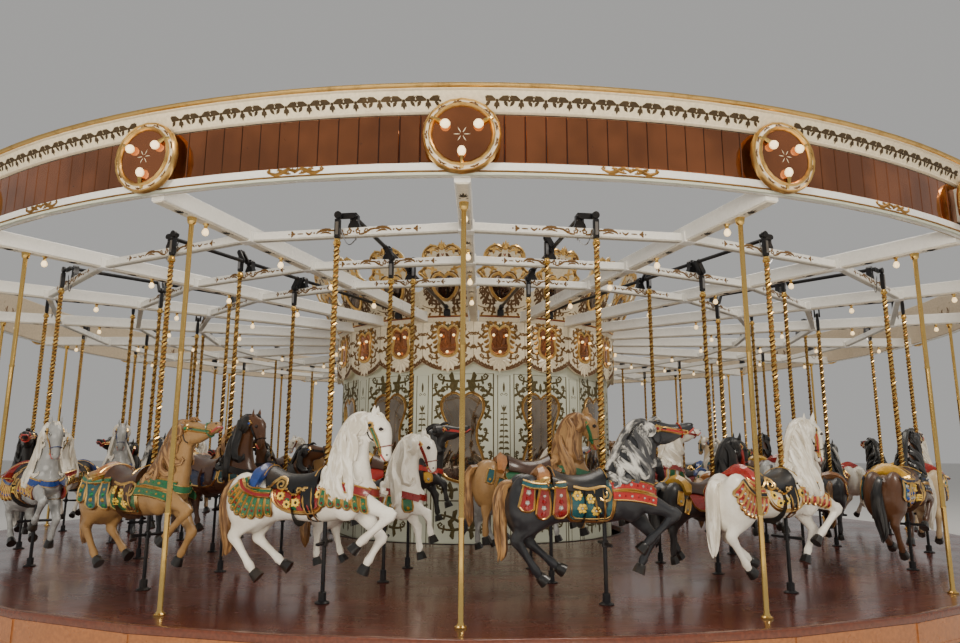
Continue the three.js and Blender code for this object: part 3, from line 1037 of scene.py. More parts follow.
def stud(x: float, z: float, radius: float) -> Shell:
    """Small cut stone or bolt head on a board."""
    return disc([(radius, -0.2 * radius), (0.5 * radius, 0.5 * radius)], 5).moved(x, 0.0, z)


def both(shells: Sequence[Shell]) -> Shell:
    """The shells and their mirror images across x = 0."""
    one = join(list(shells))
    return join([one, one.scaled(-1, 1, 1)])


def moulding(outline: Array, radius: float, sides: int = 4) -> Shell:
    """Raised frame along a closed outline of (x, z) points."""
    return tube(upright(outline), radius, sides, 0.8, closed=True, roll=math.pi / 4)


def pane(outline: Array, raise_by: float, bevel: float, back: float = 0.0) -> Shell:
    """Bevelled mirror or panel: an outline that steps in by the bevel as it rises to its face.

    Args:
        outline: (x, z) points.
        raise_by: Height of the face.
        bevel: Width of the bevel.
        back: Distance that it reaches behind the board.

    Returns:
        The panel, facing -y.
    """
    middle = outline.mean(0)
    size = np.abs(outline - middle).max(0)
    inner = middle + (outline - middle) * (1 - bevel / size)
    rows = [(outline, -back), (outline, -0.35 * raise_by), (inner, -raise_by)]
    return grid(np.stack([upright(o, y) for o, y in rows]))


def mirrored_outline(half: Points, count: int) -> Array:
    """Closed outline from the (x, z) points of its right half, from its top down.

    Args:
        half: Points of the right half.
        count: Points of the result.

    Returns:
        The outline as rows of (x, z).
    """
    right = list(half)
    left = [(-x, z) for x, z in reversed(half) if x > 1e-6]
    return smooth_path(right + left, count, closed=True)


def disc(profile: Points, segments: int) -> Shell:
    """Round mount on a board: (radius, height) profile spun about the direction that faces out."""
    return lathe(profile, segments).tilted(0, math.pi / 2)


def lamp(x: float, z: float, size: float, stand: float, lean: float = 0.0) -> tuple[Shell, Shell]:
    """Bulb on a brass socket that stands out from a board.

    Args:
        x: Place.
        z: Place.
        size: Radius of the bulb.
        stand: Distance from the board to the bulb's middle.
        lean: Sideways angle of the socket.

    Returns:
        The bulb and the socket.
    """
    socket = lathe([(0.75 * size, 0.0), (0.55 * size, 0.3 * stand), (0.62 * size, stand - 0.6 * size)], 6)
    bulb = ball((0, 0, stand), (size, size, 1.2 * size), 7, 4)
    return tuple(s.tilted(0, math.pi / 2).tilted(1, lean).moved(x, 0, z) for s in (bulb, socket))


def round_ring(profile: Points, segments: int = 160) -> Shell:
    """Closed moulding section spun right round the carousel."""
    return lathe(profile, segments, ring=True)


@dataclass
class RoundingBoards:
    """Lower rail, mirror band and cornice that hide the wheel frame's ends."""

    inner: float = 7.64
    rail: Pair = (3.5, 3.59)
    band: Pair = (3.59, 3.97)
    cornice: Pair = (3.97, 4.16)
    strips: int = 320
    face: float = 7.7
    rail_face: float = 7.7255
    back_face: float = 7.632
    lean_foot: Pair = (7.712, 3.985)
    slope: float = 0.062 / 0.13

    def build(self) -> None:
        """Makes the three rings with their ornament."""
        self._build_rail()
        self._build_band()
        self._build_cornice()

    def _build_rail(self) -> None:
        """White rail with a gold line, a grey moulding below and gilt acanthus on each bay."""
        low, high = self.rail
        section = [
            (self.inner, low + 0.01), (7.655, low), (7.7, low), (7.712, low + 0.012), (7.722, low + 0.022),
            (7.726, high - 0.006), (7.715, high - 0.002), (self.inner, high - 0.002)]
        lip = [(7.722, low + 0.016), (7.731, low + 0.019), (7.731, low + 0.026), (7.722, low + 0.029)]
        foot = [
            (7.69, low - 0.001), (7.7135, low - 0.001), (7.7215, low + 0.01), (7.7215, low + 0.014),
            (7.69, low + 0.014)]
        marks = both([
            stroke(mm((0, -6), (50, 20), (100, -4), (150, -18), (205, 2)), 0.022, 9),
            stroke(mm((30, -18), (75, -12), (115, 18), (140, 10)), 0.014, 6),
            curl(0.198, 0.012, 0.017, 0.75, 1.2, 0.013, 6), curl(0.055, -0.002, 0.014, 0.2, -1.0, 0.009, 6),
            leaf(0.1, 0.0, 0.1, 0.045, 0.018), leaf(0.105, -0.002, -0.1, 0.04, 0.016),
            leaf(0.012, 0.0, 0.2, 0.03, 0.018)])
        marks = join([marks, bead(0, 0, 0.018)]).moved(z=low + 0.058).on_ring(
            lambda z: np.full_like(z, self.rail_face))
        made = Piece("lower_rail_boards", "platform", "white_paint")
        made.add(WHITE, round_ring(section)).add(DARK_GILT, round_ring(lip)).add(GREY_GREEN, round_ring(foot))
        made.add(DARK_GILT, marks.ringed(bays()))
        made.build("lower_rail")

    def _build_band(self) -> None:
        """Bevelled mirror strips round the band, on a backing with painted scrolls inside."""
        low, high = self.band
        backing = [(self.inner, low), (7.692, low), (7.692, high), (self.inner, high)]
        half = math.pi * self.face / self.strips - 0.0022
        outline = np.array([
            (half, high - 0.008), (half, low + 0.008), (-half, low + 0.008), (-half, high - 0.008)])
        strip = pane(outline, 0.0085, 0.006).moved(y=-7.691)
        angles = (np.arange(self.strips) + 0.5) * TAU / self.strips
        # The strips' brown tint is a painted reflection of a wooden ceiling.
        made = Piece("mirror_band_strips", "platform", "tinted_mirror")
        made.add(BLACK_LINE, round_ring(backing)).add(PAINTED_REFLECTION_MIRROR, strip.ringed(angles))
        made.build("mirror_band")
        inside = Piece("rounding_board_backs", "platform", "cream_paint")
        lining = mm((7632, 3515), (7640, 3505), (7645, 4150), (7632, 4140))
        scrolls = both([
            stroke(mm((30, 0), (120, 80), (240, -60), (360, 70), (440, 0)), 0.03, 10),
            spray(0.05, 0.0, 0.06, 0.2, 0.3, 0.026), curl(0.17, 0.0, 0.045, 0.3, -1.2, 0.018),
            curl(0.31, 0.02, 0.045, 0.8, 1.2, 0.018)]).scaled(1, -1, 1).moved(z=3.8)
        bent = scrolls.on_ring(lambda z: np.full_like(z, self.back_face))
        inside.add(BEIGE, round_ring(lining, 80)).add(BROWN_LINE, bent.ringed(bays()))
        inside.build("mirror_band")

    def _lean(self, z: Array) -> Array:
        """Radius of the cornice's leaning face at a height."""
        radius, height = self.lean_foot
        return radius + (z - height) * self.slope

    def _build_cornice(self) -> None:
        """Leaning cream board with a gold top moulding and a painted garland of leaves and drops."""
        low, high = self.cornice
        section = [
            (self.inner, low), (7.712, low), (7.722, low + 0.006), (7.722, low + 0.014), (7.712, low + 0.018),
            (7.772, 4.115), (7.79, 4.12), (7.79, 4.128), (self.inner, 4.128)]
        crown = [
            (7.7, 4.126), (7.792, 4.126), (7.806, 4.132), (7.816, 4.142), (7.818, 4.152),
            (7.806, high - 0.001), (7.7, high - 0.001)]
        leaves = []
        for x in np.arange(-5.5, 6) * 0.176:
            for hand in (-1, 1):
                out = 0.0 if hand > 0 else 0.5
                leaves += [leaf(x + hand * 0.012, 4.055, out + hand * 0.03, 0.072, 0.026, hand * 0.2),
                           leaf(x + hand * 0.052, 4.047, out + hand * 0.07, 0.045, 0.02, hand * 0.3),
                           leaf(x + hand * 0.05, 4.045, out - hand * 0.08, 0.042, 0.018, hand * -0.3),
                           leaf(x, 4.045, -0.25 + hand * 0.045, 0.036, 0.018, hand * 0.3)]
            leaves += [leaf(x, 4.05, -0.25, 0.055, 0.02), stud(x, 4.052, 0.013), stud(x + 0.088, 4.05, 0.01)]
        garland = join(leaves).on_ring(lambda z: self._lean(z) + 0.001)
        made = Piece("cornice_boards", "platform", "cream_paint")
        made.add(PALE_CREAM, round_ring(section))
        made.add(GILT, round_ring(crown))
        made.add(LEAF_LINE, garland.ringed(bays()))
        made.build("cornice")


@dataclass
class Medallions:
    """Round carved frames with a mirror and three lamps, one at each sweep's end."""

    height: float = 3.76
    back: float = 7.75
    radius: float = 0.283

    def build(self) -> None:
        """Makes all twenty as one piece."""
        rim = disc([
            (0.2, 0.0), (0.268, 0.0), (self.radius, 0.02), (self.radius - 0.002, 0.052), (0.272, 0.066),
            (0.264, 0.06), (0.262, 0.046), (0.2, 0.044)], 20)
        field_ring = disc(mm((265, 42), (264, 52), (225, 62), (210, 50)), 20)
        inner = disc(mm((236, 50), (238, 74), (228, 86), (218, 78), (212, 58)), 20)
        glass = disc(mm((222, 48), (206, 62), (10, 62)), 20)
        drum = block((-0.15, 0.15), (-self.back, -7.69), (3.62, 3.94), 0.012)
        rays = [
            leaf(0.015 * math.cos(a), 0.015 * math.sin(a), a / TAU, 0.045, 0.006)
            for a in np.arange(6) * TAU / 6]
        scrolls, bulbs, sockets = [], [], []
        for a in (np.arange(13) + 0.5) / 13:
            x, z = 0.25 * math.cos(a * TAU), 0.25 * math.sin(a * TAU)
            scrolls += [curl(x, z, 0.015, a + 0.5, 1.0, 0.009, 5), leaf(x, z, a + 0.24, 0.042, 0.013, 0.3),
                        leaf(x, z, a - 0.25, 0.036, 0.011, -0.3)]
        for turn in (1 / 12, 5 / 12, 0.75):
            out = np.array([math.cos(turn * TAU), 0.0, math.sin(turn * TAU)])
            path = np.array([0.246 * out, 0.215 * out, 0.172 * out]) - np.array([
                (0, 0.05, 0), (0, 0.078, 0), (0, 0.082, 0)])
            sockets.append(tube(path, np.array([0.016, 0.013, 0.017]), 6))
            bulbs.append(ball(
                0.135 * out - np.array([0, 0.084, 0]), np.full(3, 0.031) + 0.007 * np.abs(out), 8, 5))
        made = Piece("medallions", "platform", "cream_paint")
        made.add(WARM_WHITE, drum.ringed(sweeps()))
        # The medallions' mirror glass carries a painted reflection of a wooden ceiling in its brown tint.
        for finish, shells, out in (
                (GILT, [rim, inner], 0), (PALE_CREAM, [field_ring], 0), (PAINTED_REFLECTION_MIRROR, [glass], 0),
                (BROWN_LINE, scrolls, 0.056), (PALE_CREAM, rays, 0.062), (BULB, bulbs, 0),
                (BRASS, sockets, 0)):
            shell = join(shells).moved(y=-out).moved(y=-self.back, z=self.height)
            made.add(finish, shell.ringed(sweeps()))
        made.build("mirror_band")


@dataclass
class WheelFrame:
    """White sweeps and cross-beams with painted scrolls, their lamps, and the brass rods at the rim."""

    under: float = 3.46
    top: float = 3.61
    half: float = 0.06
    end: float = 7.635
    corners: Triple = (6.51, 5.45, 4.56)
    rod_circle: float = 7.25

    def middle(self, row: int) -> float:
        """Distance from the axis to a cross-beam's middle."""
        return self.corners[row] * math.cos(PITCH / 2)

    def build(self) -> None:
        """Makes the timbers, ornament, lamps and rods."""
        timbers = Piece("wheel_frame_timbers", "platform", "white_paint")
        sweep = block((-self.half, self.half), (-self.end, -0.462), (self.under + 0.012, self.top), 0.006)
        foot = block((-0.044, 0.044), (-self.end, -0.47), (self.under, self.under + 0.014), 0.004)
        timbers.add(WHITE, sweep.ringed(sweeps())).add(WARM_WHITE, foot.ringed(sweeps()))
        collars = [
            block((-0.072, 0.072), (-r - 0.06, -r + 0.06), (self.under - 0.003, self.under + 0.1), 0.006)
            for r in self.corners]
        timbers.add(WHITE, join(collars).ringed(sweeps()))
        for row in range(3):
            reach = self.corners[row] * math.sin(PITCH / 2) - 0.05
            y = self.middle(row)
            beam = block((-reach, reach), (-y - 0.025, -y + 0.025), (3.478, 3.55), 0.004)
            # Strip along the foot of each cross-beam, in the grey copy of the white paint: painted shade on
            # the beam's underside.
            strip = block((-reach, reach), (-y - 0.03, -y + 0.03), (3.464, 3.48), 0.004)
            timbers.add(WHITE, beam.ringed(bays())).add(PAINTED_SHADE_WHITE, strip.ringed(bays()))
        timbers.build("wheel_frame_1", "wheel_frame_2", "wheel_frame_3", "wheel_frame_4")
        self._build_scrolls()
        self._build_stencils()
        self._build_rods()

    def _scrollwork(self, reach: float) -> Shell:
        """Painted scrolls for one beam's face, from its middle out to both ends.

        Args:
            reach: Half length of the beam.

        Returns:
            The scrolls, on the plane y = 0.
        """
        s = reach / 0.62
        marks = [
            curl(0.045 * s, 0.0, 0.028, 0.25, 1.2, 0.02, 7),
            curl(0.12 * s, 0.004, 0.024, 0.75, -1.2, 0.018, 7),
            stroke([(0.05 * s, -0.026), (0.1 * s, -0.022), (0.17 * s, 0.018), (0.24 * s, 0.012)], 0.021, 6),
            stroke([(0.2 * s, 0.02), (0.25 * s, 0.026), (0.32 * s, 0.016), (0.35 * s, -0.008)], 0.024, 6),
            stroke([(0.21 * s, -0.012), (0.26 * s, 0.004), (0.31 * s, -0.004)], 0.019, 5),
            stud(0.37 * s, 0.002, 0.012),
            stroke([(0.39 * s, 0.012), (0.42 * s, -0.01), (0.45 * s, 0.012)], 0.02, 5),
            stroke([(0.475 * s, 0), (0.53 * s, 0)], 0.014, 3, ends=0.5),
            leaf(0.55 * s, 0, 0.0, 0.045 * s, 0.034), leaf(0.575 * s, 0, 0.2, 0.034, 0.024),
            leaf(0.575 * s, 0, 0.8, 0.034, 0.024), stud(0.61 * s, 0, 0.01)]
        return join([both(marks), stud(0, 0, 0.012)])

    def _build_scrolls(self) -> None:
        """Scrollwork on the outer faces of the three rings of beams."""
        made = Piece("cross_beam_scrolls", "platform", "white_paint")
        for row, reach in enumerate((0.62, 0.52, 0.42)):
            lines = self._scrollwork(reach).moved(y=-self.middle(row) - 0.025, z=3.514)
            made.add(SCROLL_LINE, lines.ringed(bays()))
        made.build()

    def _build_stencils(self) -> None:
        """Palmette, round cap and lamps under each sweep, drawn on a board that is turned face down."""
        marks = [leaf(0, 0, 0.25, 0.1, 0.02), curl(0.024, -0.018, 0.014, 0.25, -1.0, 0.008, 5),
                 curl(-0.024, -0.018, 0.014, 0.25, 1.0, 0.008, 5)]
        for side in (-1, 1):
            marks += [
                leaf(0, 0, 0.25 - side * 0.07, 0.088, 0.017, side * 0.15),
                leaf(0, 0, 0.25 - side * 0.15, 0.06, 0.015, side * 0.3)]
        palmette = join(marks).tilted(0, math.pi / 2)
        places = (7.36, 6.78, 6.16, 5.82, 5.12, 4.2)
        stencil = join([palmette.moved(y=-radius, z=self.under) for radius in places])
        made = Piece("sweep_fittings", "platform", "white_paint")
        made.add(BLACK_LINE, stencil.ringed(sweeps()))
        bulbs, sockets = [], []
        for radius in (7.08, 5.98, 5.0, 3.96):
            socket = lathe([(0.027, 0), (0.016, 0.012), (0.014, 0.034), (0.019, 0.042)], 6).scaled(1, 1, -1)
            bulb = lathe(mm((6, -104), (22, -96), (30, -76), (25, -58), (14, -40)), 7)
            bulbs.append(bulb.moved(y=-radius, z=self.under))
            sockets.append(socket.moved(y=-radius, z=self.under))
        made.add(BULB, join(bulbs).ringed(sweeps())).add(BRASS, join(sockets).ringed(sweeps()))
        made.build()

    def _build_rods(self) -> None:
        """Brass sleeves with turned collars over the rods that carry the deck's rim."""
        profile = mm(
            (46, 381), (46, 392), (30, 400), (21, 420), (21, 1100), (26, 1115), (21, 1130), (21, 2350),
            (26, 2365), (21, 2380), (21, 3400), (34, 3415), (38, 3440), (40, 3460))
        made = Piece("rim_rods", "platform", "white_paint")
        made.add(BRASS, lathe(profile, 10).moved(y=-self.rod_circle).ringed(sweeps()))
        made.build()


@dataclass
class DrumTop:
    """Frieze panels under the sweeps, and the arched crests above them, which lean outwards."""

    face: float = 2.36
    thick: float = 0.036
    half: float = 0.3738
    low: float = 2.75
    top: float = 3.459
    lean: float = 0.5
    seam: float = 3.46

    def _on_face(self, shells: Sequence[Shell], out: float = 0.0) -> Shell:
        """Shells set on each bay's upright face, standing out by a distance."""
        return join(list(shells)).moved(y=-self.face - out).ringed(bays())

    def _on_crest(self, shells: Sequence[Shell], out: float = 0.0) -> Shell:
        """Shells set on each crest's face, whose radius is the frieze's plus the lean times the rise.

        Args:
            shells: Shells on a flat board at y = 0.
            out: Distance that they stand out.

        Returns:
            All the crests' copies.
        """

        def tip(p: Array) -> Array:
            """Points set over by the face's place at their height."""
            return p - np.column_stack([
                np.zeros(len(p)), self.face + out + self.lean * (p[:, 2] - self.seam), np.zeros(len(p))])

        return join(list(shells)).mapped(tip).ringed(bays())

    def _corner(self, z: float) -> float:
        """Half width of the crest's face where it meets its neighbours'."""
        return (self.face + self.lean * (z - self.seam)) * math.tan(PITCH / 2) - 0.001

    def build(self) -> None:
        """Makes the frieze, then the crests."""
        self._build_frieze()
        self._build_crests()

    def _festoon(self, x: Array, edge: Array) -> list[Shell]:
        """Leaves that run along the panel's lower edge, from its middle out to both sides.

        Args:
            x: Places across the panel, from right to left.
            edge: Heights of the edge there.

        Returns:
            A line and two rows of leaves.
        """
        marks = [stroke([
            (float(p), float(q) + 0.016) for p, q in zip(x[::4], edge[::4])], 0.024, 14, ends=0.9)]
        for k in range(1, 40, 3):
            away = 1.0 if x[k] >= 0 else -1.0
            rise = math.atan2(edge[k - 1] - edge[k + 1], x[k - 1] - x[k + 1])
            heading = (rise if away > 0 else rise + math.pi) / TAU
            marks += [
                leaf(float(x[k]), float(edge[k]) + 0.024, heading + away * 0.045, 0.088, 0.036, away * 0.35),
                leaf(float(x[k]), float(edge[k]) + 0.016, heading + away * 0.12, 0.055, 0.026, away * 0.4)]
        return marks

    @staticmethod
    def _hugging(outline: Array, grow: float, size: float, count: int) -> list[Shell]:
        """Commas that hug the right half of a frame's outline, rooted just outside it.

        Args:
            outline: The frame's (x, z) points.
            grow: Size of the line of roots against the frame.
            size: Length of a comma.
            count: Commas on the half.

        Returns:
            The commas.
        """
        middle = outline.mean(0)
        around = middle + (outline[:len(outline) // 2 + 1] - middle) * grow
        line = smooth_path(around[::3], count + 2)
        way = np.gradient(line, axis=0)
        return [
            comma(*line[k], math.atan2(way[k, 1], way[k, 0]) / TAU + 0.02, size, 1)
            for k in range(1, count + 1)]

    def _build_frieze(self) -> None:
        """Panels with a leafy lower edge, a gilt-framed mirror of two lobes and a point, lamps and sprays."""
        x = np.linspace(self.half, -self.half, 41)
        edge = self.low + 0.13 * (np.abs(x) / self.half) ** 2.2
        rim = np.column_stack([x[::2], edge[::2]])
        outline = np.concatenate([[(-self.half, self.top), (self.half, self.top)], rim])
        panel = prism(outline, -self.face + self.thick, -self.face)
        lobes = mirrored_outline(mm(
            (0, 3350), (35, 3388), (85, 3405), (136, 3372), (152, 3310), (132, 3240), (124, 3190),
            (142, 3120), (136, 3040), (88, 2980), (0, 2955)), 28)
        centre = np.array([0.0, 3.19])
        inner = centre + (lobes - centre) * 0.87
        hugging = self._hugging(lobes, 1.15, 0.088, 8)
        strokes = [
            stroke(mm((12, 3395), (70, 3442), (150, 3436), (200, 3400)), 0.024, 8),
            spray(0.1, 3.43, 0.985, 0.16, -0.3, 0.02), spray(0.225, 3.21, 0.16, 0.14, -0.35, 0.02),
            spray(0.235, 3.14, 0.87, 0.14, 0.4, 0.02), spray(0.1, 2.935, 0.965, 0.16, 0.3, 0.022),
            comma(0.235, 3.36, 0.1, 0.08, 1), comma(0.205, 3.015, 0.95, 0.085, 1)]
        pendant = [leaf(0, 2.94, -0.25 + k * 0.068, 0.215 - 0.014 * abs(k), 0.056) for k in range(-3, 4)]
        bud = [leaf(0, 3.345, 0.25 + k * 0.07, 0.095, 0.034) for k in (-1, 0, 1)]
        joint = block((-0.0025, 0.0025), (-0.003, 0.002), (2.9, 3.455))
        lamps = [lamp(px, pz, 0.022, 0.05) for px, pz in mm((-92, 3258), (92, 3258), (0, 3018))]
        made = Piece("frieze_panels", "platform", "cream_paint")
        made.add(PALE_CREAM, panel.ringed(bays()))
        made.add(
            GILT, self._on_face([moulding(lobes, 0.022)], 0.006),
            self._on_face([ridge(inner, 0.007, 0.8, True)], 0.008),
            self._on_face([bead(0, 3.352, 0.02)], 0.012))
        # The frieze mirror's brown tint is a painted reflection of a wooden ceiling.
        made.add(PAINTED_REFLECTION_MIRROR, self._on_face([pane(lobes, 0.01, 0.012)]))
        made.add(DARK_GILT, self._on_face([both(hugging)], 0.001))
        made.add(SCROLL_LINE, self._on_face([both(strokes)]))
        made.add(OLIVE_LINE, self._on_face(bud, 0.01)).add(BROWN_LINE, self._on_face(self._festoon(x, edge)))
        made.add(PALE_CREAM, self._on_face(pendant, 0.008))
        corner = self.face / math.cos(PITCH / 2)
        made.add(BROWN_LINE, joint.moved(y=-corner + 0.002).ringed(sweeps()))
        made.add(BULB, self._on_face([bulb for bulb, _ in lamps]))
        made.add(BRASS, self._on_face([socket for _, socket in lamps]))
        made.build("frieze")

    def _build_crests(self) -> None:
        """Boards whose arch of two lobes curls to a plume, with a framed mirror, a shell and sprays."""
        half = [
            (0.0, 4.52), (0.028, 4.488), (0.056, 4.446), (0.11, 4.472), (0.18, 4.468), (0.25, 4.43),
            (0.296, 4.368), (0.305, 4.308), (0.288, 4.248), (0.3, 4.19), (0.34, 4.15), (0.388, 4.124),
            (0.368, 4.096), (0.322, 4.06), (0.302, 4.0), (0.312, 3.94), (0.346, 3.892),
            (self._corner(3.87), 3.868)]
        arch = smooth_path(half, 32)
        foot = np.array([(self._corner(3.616), 3.616), (0.298, 3.612), (0.298, 3.466), (0.0, 3.462)])
        right = np.concatenate([arch, foot])
        board = prism(np.concatenate([right, right[-2:0:-1] * np.array([-1, 1])]), self.thick, 0.0)
        middle = np.array([0.0, 4.15])
        side = middle + (arch[2:29] - middle) * np.array([0.93, 0.955])
        rims = tube(upright(side), 0.019, 4, 0.7)
        hem = ridge(middle + (side[::2] - middle) * 0.89, 0.007, 0.5)
        heart = mirrored_outline(mm(
            (0, 4045), (40, 4085), (100, 4088), (155, 4050), (178, 3980), (166, 3900), (118, 3820),
            (55, 3765), (0, 3742)), 28)
        centre = np.array([0.0, 3.93])
        inner = centre + (heart - centre) * 0.88
        outer = centre + (heart - centre) * 1.2
        plume = [leaf(0, 4.4, 0.25 + k * 0.055, 0.13 - 0.018 * abs(k), 0.032) for k in range(-2, 3)]
        shell = [leaf(0, 3.665, 0.25 + k * 0.075, 0.105, 0.044) for k in range(-3, 4)]
        gilt = [
            curl(0.062, 4.405, 0.04, 0.3, -1.2, 0.022), spray(0.1, 4.41, 0.04, 0.15, -0.45, 0.026),
            spray(0.13, 4.24, 0.17, 0.13, -0.5, 0.022), spray(0.1, 4.15, 0.0, 0.17, 0.35, 0.024),
            comma(0.255, 4.08, 0.02, 0.1, 1), spray(0.215, 3.95, 0.27, 0.1, -0.4, 0.02),
            comma(0.235, 4.22, 0.3, 0.09, 1), comma(0.04, 4.125, 0.04, 0.08, -1),
        ]
        brown = [
            spray(0.04, 3.705, 0.97, 0.19, 0.25, 0.024, 3), spray(0.17, 3.745, 0.06, 0.18, 0.3, 0.022, 3),
            spray(0.2, 3.84, 0.1, 0.16, 0.2, 0.02), comma(0.06, 4.29, 0.12, 0.08, 1),
            comma(0.17, 4.38, 0.92, 0.09, 1), comma(0.255, 3.99, 0.22, 0.07, 1),
            comma(0.06, 4.34, 0.97, 0.07, -1)]
        band = [
            spray(0.06, 3.585, 0.01, 0.13, 0.2, 0.018), comma(0.2, 3.6, 0.99, 0.07, 1),
            comma(0.24, 3.585, 0.01, 0.06, -1),
            stroke(mm((50, 3655), (160, 3640), (280, 3655), (360, 3690)), 0.014),
            leaf(0.33, 3.64, 0.04, 0.06, 0.024)]
        reds = [
            stroke(mm((15, 4360), (0, 4330), (-15, 4360)), 0.016, 5),
            *[stud(x, 4.425, 0.01) for x in (-0.19, 0.19)]]
        line = block((-0.296, 0.296), (-0.007, 0.0), (3.536, 3.548), 0.002)
        red_line = block((-0.296, 0.296), (-0.005, 0.0), (3.524, 3.536), 0.002)
        back = both([spray(0.05, 3.9, 0.15, 0.3, 0.3, 0.03)]).scaled(1, -1, 1)
        made = Piece("crest_boards", "platform", "cream_paint")
        made.add(PALE_CREAM, self._on_crest([board]))
        made.add(GILT, self._on_crest([both([rims, *gilt]), *plume, line]),
                 self._on_crest([moulding(heart, 0.024), ridge(inner, 0.008, 0.8, True)], 0.006))
        made.add(SCROLL_LINE, self._on_crest([ridge(outer, 0.01, 0.5, True), both([*band, hem])]))
        made.add(BROWN_LINE, self._on_crest([both(brown)])).add(BEIGE, self._on_crest([back], -self.thick))
        made.add(DARK_MIRROR, self._on_crest([pane(heart, 0.01, 0.012)]))
        made.add(CREAM, self._on_crest(shell, 0.01))
        made.add(RED, self._on_crest([*reds, red_line]))
        made.build("crests")


@dataclass
class DrumHousing:
    """Twelve mirror panels of the drum, with painted borders and narrow pilasters."""

    turn: float = math.radians(-4)
    face: float = 2.225
    count: int = 12
    pilaster: float = 0.12

    def build(self) -> None:
        """Dresses the housing's own boards and puts mirrors, frames and strokes on them."""
        for k in range(1, 5):
            dress_node(f"housing_section_{k}", GREY_GREEN)
        step = TAU / self.count
        faces = self.turn + np.arange(self.count) * step
        edge = math.atan(self.pilaster / self.face)
        pilaster_face = self.face / math.cos(step / 2 - edge) * math.cos(edge)
        made = Piece("drum_mirrors", "base", "grey_green_paint")
        for finish, shells, out in self._panel():
            made.add(finish, join(shells).moved(y=-self.face - out).ringed(faces))
        made.add(OLIVE_LINE, self._fern().moved(y=-pilaster_face).ringed(faces + step / 2))
        made.add(WARM_WHITE, round_moulding(2.3, 2.86, 2.898, self.count, self.turn + step / 2))
        made.build()

    def _panel(self) -> list[tuple[Finish, list[Shell], float]]:
        """Mirror, frame and ornament of one panel: a finish, its shells and how far they stand out."""
        vase = mirrored_outline(mm(
            (0, 2375), (55, 2430), (130, 2455), (215, 2425), (285, 2365), (315, 2255), (285, 2130),
            (225, 2000), (205, 1850), (232, 1700), (296, 1550), (315, 1420), (280, 1300), (190, 1225),
            (85, 1205), (0, 1165)), 40)
        middle = np.array([0.0, 1.82])
        line = ridge(middle + (vase - middle) * np.array([0.93, 0.97]), 0.005, 0.8, True)
        borders = [self._border(0.44, 0.22, 2.72, 0.009), self._border(0.4, 0.34, 0.94, 0.011)]
        tips = [leaf(0, 2.6, -0.25, 0.16, 0.05), leaf(0, 0.5, 0.25, 0.26, 0.05)]
        return [
            (DRUM_MIRROR, [pane(vase, 0.012, 0.016)], 0.0), (DARK_GILT, [moulding(vase, 0.018)], 0.004),
            (GILT, [line], 0.013), (OLIVE_LINE, [self._acanthus(), *borders], 0.0), (OLIVE_LINE, tips, 0.0)]

    @staticmethod
    def _border(x: float, low: float, high: float, width: float) -> Shell:
        """Rectangle of painted line."""
        return ridge(np.array([(x, high), (x, low), (-x, low), (-x, high)]), width, 0.5, True)

    @staticmethod
    def _acanthus() -> Shell:
        """Sprays and commas that flank a panel's mirror on both sides."""
        marks = []
        for z, reach, hand in (
                (2.4, 0.33, 1), (2.24, 0.36, -1), (2.08, 0.31, 1), (1.92, 0.27, -1), (1.76, 0.27, 1),
                (1.6, 0.3, -1), (1.44, 0.34, 1), (1.26, 0.35, -1)):
            marks += [
                spray(reach, z, 0.25 - 0.14 * hand, 0.16, 0.45 * hand, 0.028),
                comma(reach - 0.01, z + 0.06, 0.3, 0.085, 1)]
        marks += [
            spray(0.03, 2.49, 0.08, 0.24, -0.35, 0.032), spray(0.05, 2.62, 0.98, 0.28, 0.2, 0.028),
            spray(0.06, 1.1, 0.95, 0.26, 0.35, 0.03), spray(0.04, 0.66, 0.1, 0.26, -0.3, 0.028),
            spray(0.04, 0.56, 0.96, 0.26, 0.3, 0.028)]
        return both(marks)

    def _fern(self) -> Shell:
        """Upright fern with a border, painted on each pilaster."""
        fern = [stroke(mm((0, 950), (12, 1300), (-10, 1700), (0, 2200)), 0.012, 8, ends=0.6)]
        for k, z in enumerate(np.arange(1.0, 2.15, 0.082)):
            reach = 0.088 - 0.035 * abs(2 * k / 14 - 1)
            fern += [comma(0.0, z, 0.25 - side * 0.1, reach, -side) for side in (-1, 1)]
        fern += [leaf(0, 2.18, 0.25 + k * 0.06, 0.1, 0.022) for k in (-1, 0, 1)]
        fern += [spray(side * 0.01, 0.92, 0.25 + side * 0.4, 0.1, -side * 0.5, 0.016) for side in (-1, 1)]
        curls = both([curl(0.034, 2.42, 0.028, 0.5, -1.1, 0.01, 6)])
        return join([*fern, self._border(0.09, 0.26, 2.7, 0.006), curls, leaf(0, 2.46, 0.25, 0.14, 0.034)])


def round_moulding(radius: float, low: float, high: float, sides: int, turn: float) -> Shell:
    """Moulding round a drum of flat sides, from a height to another.

    Args:
        radius: Radius of its lip.
        low: Lower height.
        high: Upper height.
        sides: Flat sides.
        turn: Angle of the first corner.

    Returns:
        The closed ring.
    """
    depth = high - low
    section = [
        (radius - 0.06, low), (radius - 0.015, low), (radius, low + 0.4 * depth), (radius - 0.01, high),
        (radius - 0.06, high)]
    return lathe(section, sides, ring=True).turned(turn)


def dress_node(name: str, finish: Finish) -> None:
    """Gives a CAD node that stays in view a finish in all its material slots."""
    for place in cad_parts[name].material_slots:
        place.material = finish.material()


